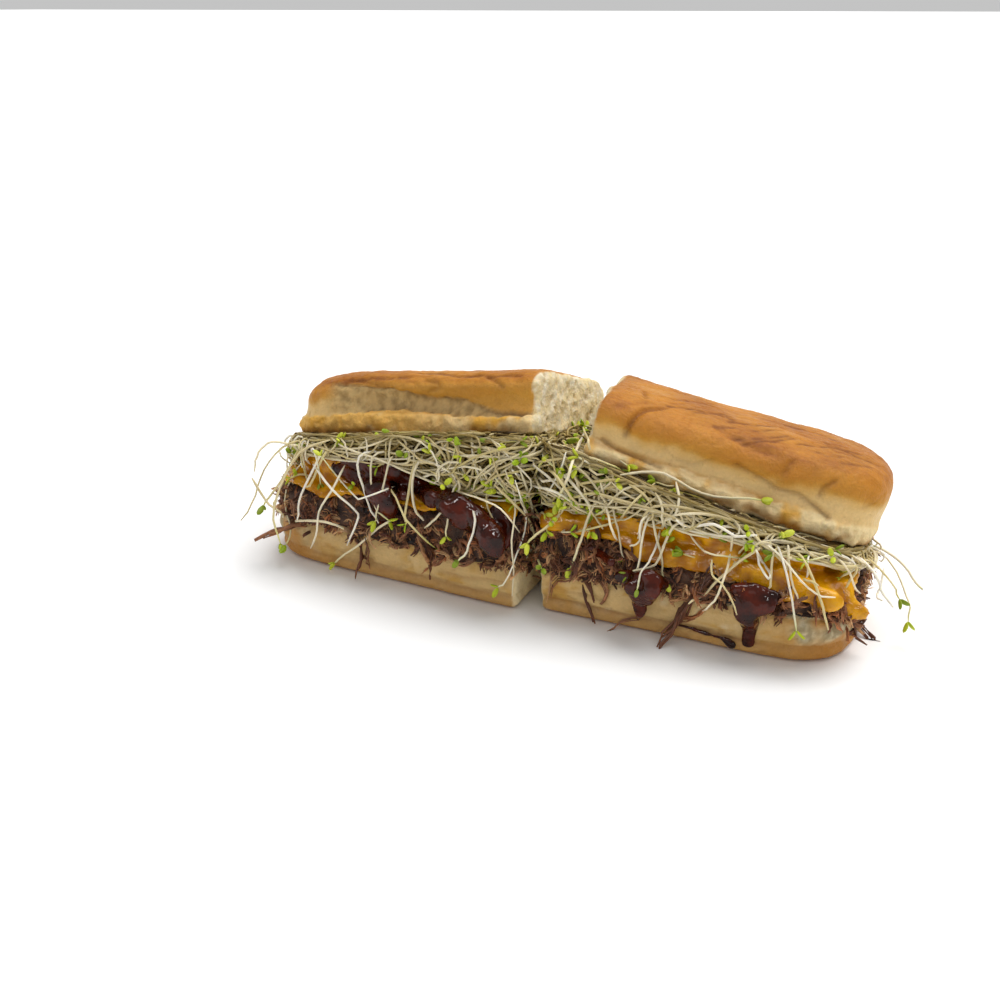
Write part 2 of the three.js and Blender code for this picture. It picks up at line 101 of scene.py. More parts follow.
# The camera, in the design's own frame, whose origin is the middle of the cut
EYE = (141.7, -371.4, 206.3)
EYE_YAW = -24.36
EYE_PITCH = -23.6
FOCAL_PIXELS = 1134.5
IMAGE_SIZE = 1000
SENSOR_MM = 36.0


# Colour

def linear(code):
    """An sRGB colour such as 'c88a40' as linear red, green and blue."""
    srgb = np.array([int(code[k : k + 2], 16) / 255 for k in (0, 2, 4)])
    return np.where(srgb <= 0.04045, srgb / 12.92, ((srgb + 0.055) / 1.055) ** 2.4)


def mixed(first, second, share):
    """Colours between two, for an array of shares."""
    share = np.clip(share, 0, 1)[:, None]
    return first * (1 - share) + second * share


# Noise

LATTICE = np.random.default_rng(7).permutation(256)
GRADIENTS = np.random.default_rng(8).normal(size=(256, 3))
GRADIENTS /= np.linalg.norm(GRADIENTS, axis=1, keepdims=True)


def lattice_hash(cell):
    x, y, z = (cell & 255).T
    return LATTICE[(LATTICE[(LATTICE[x] + y) & 255] + z) & 255]


def noise(points, size, seed=0):
    """Smooth noise, about -1 to 1, over `size` millimetres, which may differ along X, Y and Z."""
    place = points / np.asarray(size, dtype=float) + 31.7 * seed
    cell = np.floor(place).astype(np.int64)
    part = place - cell
    fade = part**3 * (part * (part * 6 - 15) + 10)
    total = np.zeros(len(points))
    for corner in np.ndindex(2, 2, 2):
        gradient = GRADIENTS[lattice_hash(cell + corner)]
        weight = np.prod(np.where(corner, fade, 1 - fade), axis=1)
        total += weight * ((part - corner) * gradient).sum(axis=1)
    return 1.6 * total


def rough(points, size, octaves, seed=0):
    """Noise with finer layers on it, each half as strong and half as large."""
    size = np.asarray(size, dtype=float)
    return sum(noise(points, size / 2**k, seed + k) / 2**k for k in range(octaves))


def swirl(points, size, seed):
    """Noise along each of X, Y and Z."""
    return np.stack([noise(points, size, seed + k) for k in range(3)], axis=1)


def wrinkles(points, size, width, seed=0):
    """1 on thin winding lines, 0 between them."""
    bent = points + 2.0 * swirl(points, 5, seed + 1)
    line = 1 - smooth(np.abs(noise(bent, size, seed)), 0.0, width)
    return line * smooth(noise(points, 11, seed + 4), -0.3, 0.4)


def pits(points, size, seed=0):
    """Distance to the nearest of scattered points, in parts of `size`."""
    place = points / size + 13.3 * seed
    cell = np.floor(place).astype(np.int64)
    nearest = np.full(len(points), 9.0)
    for step in np.ndindex(3, 3, 3):
        corner = cell + step - 1
        offset = GRADIENTS[lattice_hash(corner)] * 0.45 + 0.5
        nearest = np.minimum(nearest, np.linalg.norm(corner + offset - place, axis=1))
    return nearest


def smooth(value, low, high):
    """0 below `low`, 1 above `high`, and a smooth step between."""
    part = np.clip((value - low) / (high - low), 0, 1)
    return part * part * (3 - 2 * part)


# Places

def turned(degrees, axis):
    return Matrix.Rotation(math.radians(degrees), 4, axis)


def design_offset():
    """The move from the design's origin to the row frame's, read off the right bottom bread's flat base."""
    half = HALVES["right"]
    points = node_points("bottom_bread_right")
    base = points[points[:, 2] < 0.05, :2]
    turn = np.array(turned(half["bottom_yaw"], "Z"))[:2, :2]
    flat = base @ turn
    corner = np.array([flat[:, 0].min() - BASE_CUT_INSET, (flat[:, 1].min() + flat[:, 1].max()) / 2])
    return np.array([*(turn @ corner - half["bottom_at"]), 0.0])


def node_points(name):
    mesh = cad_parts[name].data
    points = np.empty(3 * len(mesh.vertices))
    mesh.vertices.foreach_get("co", points)
    return points.reshape(-1, 3) / MM


def node_triangles(name):
    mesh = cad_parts[name].data
    mesh.calc_loop_triangles()
    corners = np.empty(3 * len(mesh.loop_triangles), dtype=np.int32)
    mesh.loop_triangles.foreach_get("vertices", corners)
    return corners.reshape(-1, 3)


def surface(*names):
    """The joined surface of some CAD nodes, to cast rays on."""
    points, triangles, count = [], [], 0
    for name in names:
        points.append(node_points(name))
        triangles.append(node_triangles(name) + count)
        count += len(points[-1])
    return BVHTree.FromPolygons(np.concatenate(points).tolist(), np.concatenate(triangles).tolist())


OFFSET = design_offset()
EYE_POINT = Vector(np.array(EYE) + OFFSET)
EYE_TURN = turned(-EYE_YAW, "Z").to_3x3() @ turned(90 + EYE_PITCH, "X").to_3x3()


def top_matrix(half):
    lean, slope, yaw = half["top_turn"]
    turn = turned(yaw, "Z") @ turned(slope, "Y") @ turned(lean, "X")
    return Matrix.Translation(Vector(half["top_at"]) + Vector(OFFSET)) @ turn


def bottom_matrix(half):
    place = Vector((*half["bottom_at"], 0)) + Vector(OFFSET)
    return Matrix.Translation(place) @ turned(half["bottom_yaw"], "Z")


def local(points, matrix, side):
    """Row-frame points as (distance from the cut, across, height) in a bread's own frame."""
    inside = (points - np.array(matrix.translation)) @ np.array(matrix.to_3x3())
    return inside * (side, 1, 1)


def local_direction(directions, matrix, side):
    return directions @ np.array(matrix.to_3x3()) * (side, 1, 1)


def pixel_ray(pixel):
    """The direction in which the camera sees a pixel of the photograph."""
    x, y = pixel
    across = (x - IMAGE_SIZE / 2) / FOCAL_PIXELS
    up = (IMAGE_SIZE / 2 - y) / FOCAL_PIXELS
    return (EYE_TURN @ Vector((across, up, -1))).normalized()


def seen(pixels, tree, proud=0.0):
    """Points where pixels of the photograph fall on a surface, `proud` millimetres in front of it.
    A pixel beside the surface takes the depth of the nearest one on it."""
    rays = [pixel_ray(pixel) for pixel in pixels]
    depths = [tree.ray_cast(EYE_POINT, ray)[3] for ray in rays]
    on_surface = [k for k, depth in enumerate(depths) if depth is not None]
    if not on_surface:
        return np.zeros((0, 3))
    nearest = [min(on_surface, key=lambda other: abs(other - k)) for k in range(len(rays))]
    return np.array([EYE_POINT + ray * (depths[k] - proud) for ray, k in zip(rays, nearest)])


# The filling's shape, as the solids have it

# Half of the beef's cross-section: t from the middle line to the bottom bread, share across and share up
BEEF_PROFILE = np.array([
    (0, 0, 1), (0.3, 0.4, 0.99), (0.54, 0.74, 0.94), (0.66, 0.9, 0.83), (0.75, 1, 0.63),
    (0.84, 1.06, 0.38), (0.91, 1.09, 0.12), (0.96, 1.07, -0.14), (1, 0.96, -0.02),
])


def underside_height(half, points):
    """The height of the top bread's underside above points of the plan."""
    matrix = top_matrix(half)
    normal = matrix.to_3x3() @ Vector((0, 0, 1))
    origin = matrix.translation
    away = points[..., 0] - origin.x, points[..., 1] - origin.y
    return origin.z - (normal.x * away[0] + normal.y * away[1]) / normal.z


def filling_point(half, u, t, lift=0.0):
    """Points on the beef, u from the cut and t round its cross-section, raised by `lift`."""
    u, t = np.broadcast_arrays(np.asarray(u, dtype=float), t)
    matrix = bottom_matrix(half)
    turn, origin = np.array(matrix.to_3x3()), np.array(matrix.translation)

    def place(turned_by):
        size = np.abs(turned_by)
        across = np.sign(turned_by) * np.interp(size, BEEF_PROFILE[:, 0], BEEF_PROFILE[:, 1])
        up = np.interp(size, BEEF_PROFILE[:, 0], BEEF_PROFILE[:, 2])
        past = np.clip((u - (HALF_LENGTH + 2 - END_ROUNDING)) / END_ROUNDING, 0, 1)
        width = BOTTOM_WIDTH * MEAT_WIDTH / 2 * (1 - past**END_SQUARENESS) ** (1 / END_SQUARENESS)
        inside = np.stack([half["side"] * u, across * width, np.full(u.shape, BOTTOM_HEIGHT)], axis=-1)
        points = inside @ turn.T + origin
        points[..., 2] += up * MEAT_SHARE * (underside_height(half, points) - BOTTOM_HEIGHT)
        return points

    before, after = place(t - 0.04), place(t + 0.04)
    fall, spread = before[..., 2] - after[..., 2], after[..., 1] - before[..., 1]
    outward = np.stack([np.zeros(u.shape), fall, spread], axis=-1)
    return place(t) + unit(outward) * np.asarray(lift)[..., None]


HEAP_LIFT = 3.7  # of the sprouts above the beef, with the cheese between
HEAP_BULGE = 3.0
HEAP_LENGTH = 320.0  # about the way round the heap, millimetres
HEAP_STEPS = 400

# The heap's foot as seen from above, from the cut's front corner along the front, the outer end, the back
# and the cut: distance from the cut and t
HEAP_FOOT = np.array([
    (1.5, -0.56), (35, -0.57), (70, -0.55), (88, -0.52), (100, -0.42), (106, -0.2), (106, 0.2),
    (100, 0.46), (88, 0.55), (70, 0.58), (35, 0.57), (1.5, 0.56), (0, 0.3), (0, -0.3), (1.5, -0.56),
])


def heap_loop(half):
    """Evenly spaced points round the foot of the heap."""
    where = np.linspace(0, len(HEAP_FOOT) - 1, 8 * HEAP_STEPS)
    u, t = (np.interp(where, np.arange(len(HEAP_FOOT)), column) for column in HEAP_FOOT.T)
    points = filling_point(half, u, t, HEAP_LIFT)
    length = np.concatenate([[0], np.cumsum(np.linalg.norm(np.diff(points, axis=0), axis=1))])
    even = np.linspace(0, length[-1], HEAP_STEPS, endpoint=False)
    return np.stack([np.interp(even, length, column) for column in points.T], axis=1)


def heap_wall(half, around, up, out):
    """Points in the upright wall of the heap of sprouts: `around` in millimetres from the cut's front corner
    along the front, the outer end, the back and the cut, `up` from the cheese (0) to the top bread (1)."""
    loop = half["heap"]

    def low(where):
        step = where / HEAP_LENGTH * HEAP_STEPS
        first = np.floor(step).astype(int)
        part = (step - first)[..., None]
        return loop[first % HEAP_STEPS] * (1 - part) + loop[(first + 1) % HEAP_STEPS] * part

    base = low(around)
    along = (low(around + 3) - low(around - 3)) * half["side"]
    outward = unit(np.stack([along[..., 1], -along[..., 0], np.zeros(around.shape)], axis=-1))
    bulge = HEAP_BULGE * np.sin(np.pi * np.clip(up, 0, 1)) * (0.4 + 0.6 * (outward[..., 1] < 0))
    points = base + outward * (out + bulge)[..., None]
    points[..., 2] = base[..., 2] + up * (underside_height(half, points) - base[..., 2])
    return points


def heap_edge(half, around):
    """The lower edge of the stems in the heap's front, as a share of its height. It is 0 elsewhere."""
    where, share = np.array(half["heap_edge"], dtype=float).T
    front = 1 - smooth(np.abs(around - 50), 52, 66)
    return front * np.interp(around, where, share)


def unit(vectors):
    return vectors / np.maximum(np.linalg.norm(vectors, axis=-1, keepdims=True), 1e-9)


# Meshes

def make_piece(name, points, face_groups, material, colours=None, shade=True):
    """A piece from points in millimetres and groups of faces with equal corner counts."""
    mesh = bpy.data.meshes.new(name)
    loops = np.concatenate([group.ravel() for group in face_groups])
    sizes = np.concatenate([np.full(len(group), group.shape[1]) for group in face_groups])
    mesh.vertices.add(len(points))
    mesh.vertices.foreach_set("co", (points * MM).ravel())
    mesh.loops.add(len(loops))
    mesh.loops.foreach_set("vertex_index", loops)
    mesh.polygons.add(len(sizes))
    mesh.polygons.foreach_set("loop_start", np.concatenate([[0], np.cumsum(sizes)[:-1]]))
    mesh.update(calc_edges=True)
    mesh.validate()
    if shade:
        mesh.shade_smooth()
    piece = bpy.data.objects.new(name, mesh)
    bpy.context.scene.collection.objects.link(piece)
    mesh.materials.append(material)
    if colours is not None:
        paint(mesh, colours)
    return piece


def paint(mesh, colours):
    """Stores a linear colour for each vertex, which the materials read as Tint."""
    attribute = mesh.color_attributes.new("Tint", "FLOAT_COLOR", "POINT")
    filled = np.concatenate([colours, np.ones((len(colours), 1))], axis=1)
    attribute.data.foreach_set("color", filled.ravel().astype(np.float32))


def mark(mesh, name, values):
    """Stores a number for each vertex, which the materials read by name."""
    attribute = mesh.attributes.new(name, "FLOAT", "POINT")
    attribute.data.foreach_set("value", values.astype(np.float32))


def read_points(mesh):
    points = np.empty(3 * len(mesh.vertices))
    mesh.vertices.foreach_get("co", points)
    return points.reshape(-1, 3) / MM


def write_points(mesh, points):
    mesh.vertices.foreach_set("co", (points * MM).ravel())
    mesh.update()


def read_normals(mesh):
    normals = np.empty(3 * len(mesh.vertices))
    mesh.vertex_normals.foreach_get("vector", normals)
    return normals.reshape(-1, 3)


def remeshed(name, points, face_groups, coarse, fine, rounds):
    """A smooth even mesh of a closed shape: remeshed coarsely, smoothed, and remeshed finely."""
    source = make_piece(name + "_source", points, face_groups, None, shade=False)
    for size in (coarse, fine):
        remesh = source.modifiers.new("remesh", "REMESH")
        remesh.mode = "VOXEL"
        remesh.voxel_size = size * MM
        relax = source.modifiers.new("relax", "SMOOTH")
        relax.factor = 0.5
        relax.iterations = rounds
    graph = bpy.context.evaluated_depsgraph_get()
    mesh = bpy.data.meshes.new_from_object(source.evaluated_get(graph))
    mesh.name = name
    bpy.data.objects.remove(source)
    mesh.shade_smooth()
    mesh.materials.clear()
    return mesh


def place_mesh(mesh, material):
    piece = bpy.data.objects.new(mesh.name, mesh)
    bpy.context.scene.collection.objects.link(piece)
    mesh.materials.append(material)
    return piece


def smooth_paths(controls, steps):
    """Even smooth curves (count, steps, 3) through control points (count, controls, 3)."""
    controls = np.asarray(controls, dtype=float)
    last = controls.shape[1] - 1
    where = np.linspace(0, last, steps)
    start = np.minimum(where.astype(int), last - 1)
    part = (where - start)[None, :, None]
    padded = np.concatenate(
        [2 * controls[:, :1] - controls[:, 1:2], controls, 2 * controls[:, -1:] - controls[:, -2:-1]], axis=1
    )
    a, b, c, d = (padded[:, start + k] for k in range(4))
    return 0.5 * (
        2 * b + (c - a) * part + (2 * a - 5 * b + 4 * c - d) * part**2 + (3 * b - a - 3 * c + d) * part**3
    )


def tubes(paths, radii, sides, flatness=1.0):
    """Closed tubes along paths (count, steps, 3) with radii (count, steps): points and face groups."""
    count, steps = radii.shape
    tangents = unit(np.gradient(paths, axis=1))
    normal = unit(np.cross(tangents[:, 0], [0.31, 0.52, 0.79]))
    normals = np.empty_like(paths)
    for k in range(steps):
        along = tangents[:, k]
        normal = unit(normal - (normal * along).sum(axis=1, keepdims=True) * along)
        normals[:, k] = normal
    binormals = np.cross(tangents, normals)
    angles = 2 * math.pi * np.arange(sides) / sides
    ring = (
        normals[:, :, None] * np.cos(angles)[:, None] * flatness
        + binormals[:, :, None] * np.sin(angles)[:, None]
    )
    points = paths[:, :, None] + ring * radii[:, :, None, None]
    index = np.arange(count * steps * sides).reshape(count, steps, sides)
    after = np.roll(index, -1, axis=2)
    quads = np.stack([index[:, :-1], after[:, :-1], after[:, 1:], index[:, 1:]], axis=-1).reshape(-1, 4)
    caps = np.concatenate([index[:, 0, ::-1], index[:, -1]])
    return points.reshape(-1, 3), [quads, caps]


def loft(rings):
    """A closed shape through closed rings of points (levels, steps, 3), with a fan over each end."""
    levels, steps = rings.shape[:2]
    index = np.arange(levels * steps).reshape(levels, steps)
    after = np.roll(index, -1, axis=1)
    quads = np.stack([index[:-1], after[:-1], after[1:], index[1:]], axis=-1).reshape(-1, 4)
    first, last = levels * steps, levels * steps + 1
    caps = np.concatenate([
        np.stack([np.full(steps, first), after[0], index[0]], axis=-1),
        np.stack([np.full(steps, last), index[-1], after[-1]], axis=-1),
    ])
    points = np.concatenate([rings.reshape(-1, 3), rings[:1].mean(axis=1), rings[-1:].mean(axis=1)])
    return points, [quads, caps]


def joined(parts):
    """Joins parts, each of points, face groups and colours, into one."""
    points, groups, colours, count = [], [], [], 0
    for part_points, part_groups, part_colours in parts:
        points.append(part_points)
        groups += [group + count for group in part_groups]
        colours.append(np.broadcast_to(part_colours, part_points.shape))
        count += len(part_points)
    return np.concatenate(points), groups, np.concatenate(colours)


def ball(centre, radii, rings=8, sectors=12):
    """A closed ball stretched along X, Y and Z: points and triangle and quad groups."""
    tilt = np.linspace(0, math.pi, rings + 1)[1:-1]
    angle = 2 * math.pi * np.arange(sectors) / sectors
    middle = np.stack(
        [
            np.sin(tilt)[:, None] * np.cos(angle),
            np.sin(tilt)[:, None] * np.sin(angle),
            np.broadcast_to(np.cos(tilt)[:, None], (rings - 1, sectors)),
        ],
        axis=-1,
    ).reshape(-1, 3)
    points = np.concatenate([middle, [[0, 0, 1], [0, 0, -1]]]) * radii + centre
    index = np.arange((rings - 1) * sectors).reshape(rings - 1, sectors)
    after = np.roll(index, -1, axis=1)
    quads = np.stack([index[:-1], index[1:], after[1:], after[:-1]], axis=-1).reshape(-1, 4)
    top, bottom = len(middle), len(middle) + 1
    caps = [
        np.stack([np.full(sectors, top), index[0], after[0]], axis=-1),
        np.stack([np.full(sectors, bottom), after[-1], index[-1]], axis=-1),
    ]
    return points, [quads, np.concatenate(caps)]


def path_distance(points, path):
    """How far points are from a broken line."""
    best = np.full(len(points), np.inf)
    for first, second in zip(path[:-1], path[1:]):
        along = second - first
        share = np.clip(((points - first) @ along) / max(along @ along, 1e-9), 0, 1)
        best = np.minimum(best, np.linalg.norm(points - first - share[:, None] * along, axis=1))
    return best


# Materials

# What is the same all over a material's surface
FINISHES = {
    "bread": {
        "Specular IOR Level": 0.13,
        "Subsurface Weight": 0.12,
        "Subsurface Radius": (0.0025, 0.0014, 0.0007),
    },
    "beef": {
        "Roughness": 0.48,
        "Specular IOR Level": 0.32,
        "Subsurface Weight": 0.08,
        "Subsurface Radius": (0.0015, 0.0006, 0.0004),
    },
    "melted_cheese": {
        "Roughness": 0.14,
        "Specular IOR Level": 0.27,
        "Subsurface Weight": 0.15,
        "Subsurface Radius": (0.004, 0.0018, 0.0004),
    },
    "barbecue_sauce": {"Roughness": 0.05, "Specular IOR Level": 0.24},
    "sprouts": {
        "Roughness": 0.35,
        "Specular IOR Level": 0.15,
        "Subsurface Weight": 0.3,
        "Subsurface Radius": (0.0012, 0.0011, 0.0006),
    },
    "floor": {"Base Color": (0.9, 0.9, 0.9, 1), "Roughness": 0.9},
}


def new_material(name):
    material = bpy.data.materials.new(name)
    material.use_nodes = True
    tree = material.node_tree
    shader = tree.nodes["Principled BSDF"]
    for socket, value in FINISHES[name].items():
        shader.inputs[socket].default_value = value
    return material, tree, shader


def add_node(tree, kind, **settings):
    node = tree.nodes.new(kind)
    for key, value in settings.items():
        if key in node.inputs:
            node.inputs[key].default_value = value
        else:
            setattr(node, key, value)
    return node


def place_texture(tree, kind, scale, **settings):
    """A texture in object space; `scale` is repeats per metre."""
    where = add_node(tree, "ShaderNodeTexCoord")
    texture = add_node(tree, kind, Scale=scale, **settings)
    tree.links.new(where.outputs["Object"], texture.inputs["Vector"])
    return texture


def grain(tree, scale, **settings):
    return place_texture(tree, "ShaderNodeTexNoise", scale, **settings).outputs["Fac"]


def stored(tree, name, output):
    """A colour or number that the mesh stores for each vertex."""
    return add_node(tree, "ShaderNodeAttribute", attribute_name=name).outputs[output]


def ranged(tree, value, low, high):
    """Turns a value from 0 to 1 into one from `low` to `high`."""
    between = add_node(tree, "ShaderNodeMapRange", **{"To Min": low, "To Max": high})
    tree.links.new(value, between.inputs["Value"])
    return between.outputs["Result"]


def speckled(tree, colour, texture, low, high):
    """Multiplies a colour by a texture's value, spread between `low` and `high`."""
    factor = ranged(tree, texture, low, high)
    product = add_node(tree, "ShaderNodeVectorMath", operation="SCALE")
    tree.links.new(colour, product.inputs[0])
    tree.links.new(factor, product.inputs["Scale"])
    return product.outputs["Vector"]


def bumped(tree, heights, distance, strength=1.0, under=None):
    bump = add_node(tree, "ShaderNodeBump", Strength=strength, Distance=distance)
    tree.links.new(heights, bump.inputs["Height"])
    if under is not None:
        tree.links.new(under, bump.inputs["Normal"])
    return bump.outputs["Normal"]


def times(tree, first, second):
    product = add_node(tree, "ShaderNodeMath", operation="MULTIPLY")
    tree.links.new(first, product.inputs[0])
    tree.links.new(second, product.inputs[1])
    return product.outputs["Value"]


def bread_material():
    """Baked dough: matt and open where Crumb is 1, a slightly shiny, finely wrinkled crust where it is 0."""
    material, tree, shader = new_material("bread")
    crumb = stored(tree, "Crumb", "Fac")
    colour = stored(tree, "Tint", "Color")
    colour = speckled(tree, colour, grain(tree, 900.0, Detail=5.0, Roughness=0.65), 0.84, 1.16)
    colour = speckled(tree, colour, grain(tree, 150.0, Detail=4.0, Roughness=0.6), 0.88, 1.12)
    normal = bumped(tree, grain(tree, 1200.0, Detail=6.0, Roughness=0.6), 0.0003, 0.8)
    puckers = grain(tree, 330.0, Detail=4.0, Roughness=0.55, Distortion=1.4)
    normal = bumped(tree, puckers, 0.0009, 0.6, normal)
    bubbles = place_texture(tree, "ShaderNodeTexVoronoi", 900.0, feature="SMOOTH_F1")
    normal = bumped(tree, times(tree, bubbles.outputs["Distance"], crumb), 0.0005, 0.35, normal)
    tree.links.new(colour, shader.inputs["Base Color"])
    tree.links.new(ranged(tree, crumb, 0.45, 0.9), shader.inputs["Roughness"])
    tree.links.new(normal, shader.inputs["Normal"])
    return material


def tinted_material(name, clouds, darkest, brightest, relief=None, depth=None):
    """A material in the mesh's Tint, clouded between `darkest` and `brightest`, with relief if one is given.
    Clouds and relief are settings of noise, and `depth` is in metres."""
    material, tree, shader = new_material(name)
    colour = speckled(tree, stored(tree, "Tint", "Color"), grain(tree, **clouds), darkest, brightest)
    tree.links.new(colour, shader.inputs["Base Color"])
    if relief is not None:
        tree.links.new(bumped(tree, grain(tree, **relief), depth), shader.inputs["Normal"])
    return material


def sauce_material():
    material, tree, shader = new_material("barbecue_sauce")
    ramp = add_node(tree, "ShaderNodeValToRGB")
    for stop, position, code in zip(ramp.color_ramp.elements, (0.35, 0.75), ("240a04", "5c1c08")):
        stop.position = position
        stop.color = (*linear(code), 1)
    tree.links.new(grain(tree, 160.0, Detail=3.0), ramp.inputs["Fac"])
    tree.links.new(ramp.outputs["Color"], shader.inputs["Base Color"])
    tree.links.new(bumped(tree, grain(tree, 240.0, Detail=2.0), 0.0009), shader.inputs["Normal"])
    return material


# Breads

CRUST = linear("bb7b2a")
TOASTED = linear("87491a")
PRESSED = linear("6c3a14")
GOLDEN = linear("cd9a40")
PALE = linear("e2c083")
CRUMB = linear("eed9a9")
TAN = linear("d8b478")
RIM = linear("c99552")

# How meshes are made: coarse and fine voxels in millimetres, and rounds of smoothing
TOP_BREAD_MESH = (1.3, 0.85, 3)
BOTTOM_BREAD_MESH = (1.4, 1.15, 3)
SAUCE_MESH = (0.65, 0.6, 4)
CHEESE_MESH = (1.1, 1.05, 3)


def fine_copy(name, coarse, fine, rounds):
    """A CAD node's shape as a fine, even mesh."""
    return remeshed(name + "_fine", node_points(name), [node_triangles(name)], coarse, fine, rounds)


def creased(points, tree, creases):
    """How far creases draw the surface in, and how dark their painted shade is, where points lie near them.
    """
    drawn, painted_shade = np.zeros(len(points)), np.zeros(len(points))
    for pixels, width, depth, shade in creases:
        path = seen(pixels, tree)
        if len(path) < 2:
            continue
        near = np.exp(-((path_distance(points, path) / width) ** 2))
        drawn = np.maximum(drawn, depth * near)
        painted_shade = np.maximum(painted_shade, shade * near)
    return drawn, painted_shade


# Creases in the crust as pixels of the photograph, width and depth in millimetres, and the darkness of their
# painted shade
TOP_CREASES = {
    "left": [
        ([(345, 381), (358, 380), (372, 384), (392, 389)], 1.2, 0.9, 0.35),
        ([(425, 380), (437, 383), (439, 388), (430, 391)], 1.0, 0.8, 0.35),
        ([(487, 377), (498, 383), (502, 387)], 0.9, 0.9, 0.4),
    ],
    "right": [
        ([(666, 407), (659, 408), (646, 409), (638, 414), (630, 425), (625, 436)], 1.1, 1.6, 0.55),
        ([(666, 406), (656, 403), (640, 402), (618, 406)], 1.5, 0.7, 0.2),
        ([(644, 391), (646, 398)], 0.8, 0.8, 0.4),
        ([(722, 430), (735, 438), (754, 448), (775, 454)], 2.0, 0.9, 0.15),
        ([(792, 462), (783, 474)], 1.1, 0.8, 0.3),
        ([(834, 482), (823, 488), (819, 495)], 1.0, 1.0, 0.4),
        ([(602, 439), (615, 448), (630, 454), (649, 463), (660, 469)], 0.8, 1.6, 0.35),
        ([(735, 465), (754, 475), (775, 488), (798, 494), (813, 505), (828, 518)], 0.8, 1.1, 0.4),
        ([(676, 459), (694, 464), (712, 460)], 0.8, 0.6, 0.2),
    ],
}

# Darker lines that the hot press left along the top, as pixels of the photograph
PRESS_LINES = {
    "left": [
        [(420, 373), (470, 376), (520, 376)],
        [(350, 379), (385, 378), (410, 377)],
    ],
    "right": [
        [(669, 405), (696, 410), (724, 416)],
        [(673, 399), (703, 403), (724, 411)],
        [(696, 412), (726, 415), (734, 421)],
        [(729, 421), (755, 425), (775, 427)],
        [(716, 427), (734, 427)],
        [(755, 430), (780, 431)],
        [(734, 439), (760, 438), (788, 437)],
        [(742, 444), (775, 441), (793, 439)],
        [(785, 425), (811, 431), (836, 441)],
        [(800, 444), (831, 447), (859, 454)],
        [(828, 444), (859, 457), (880, 466)],
        [(844, 463), (869, 467)],
        [(818, 452), (840, 457)],
    ],
}

# The edges of the recess along the left top bread's front, as pixels of the photograph
RECESS_TOP = [
    (348, 383), (369, 387), (394, 390), (411, 393), (428, 397), (445, 396), (464, 398), (479, 403),
    (495, 409), (535, 412),
]
RECESS_BOTTOM = [
    (310, 417), (327, 416), (357, 413), (380, 411), (399, 410), (420, 411), (432, 413), (453, 415),
    (487, 417), (517, 416), (535, 414),
]


def edge_share(edge, matrix, side, u, height):
    """How high up the bread an edge runs, at distances from the cut, as a share of `height`."""
    place = local(edge, matrix, side)
    place = place[np.argsort(place[:, 0])]
    return np.interp(u, place[:, 0], place[:, 2] / height)


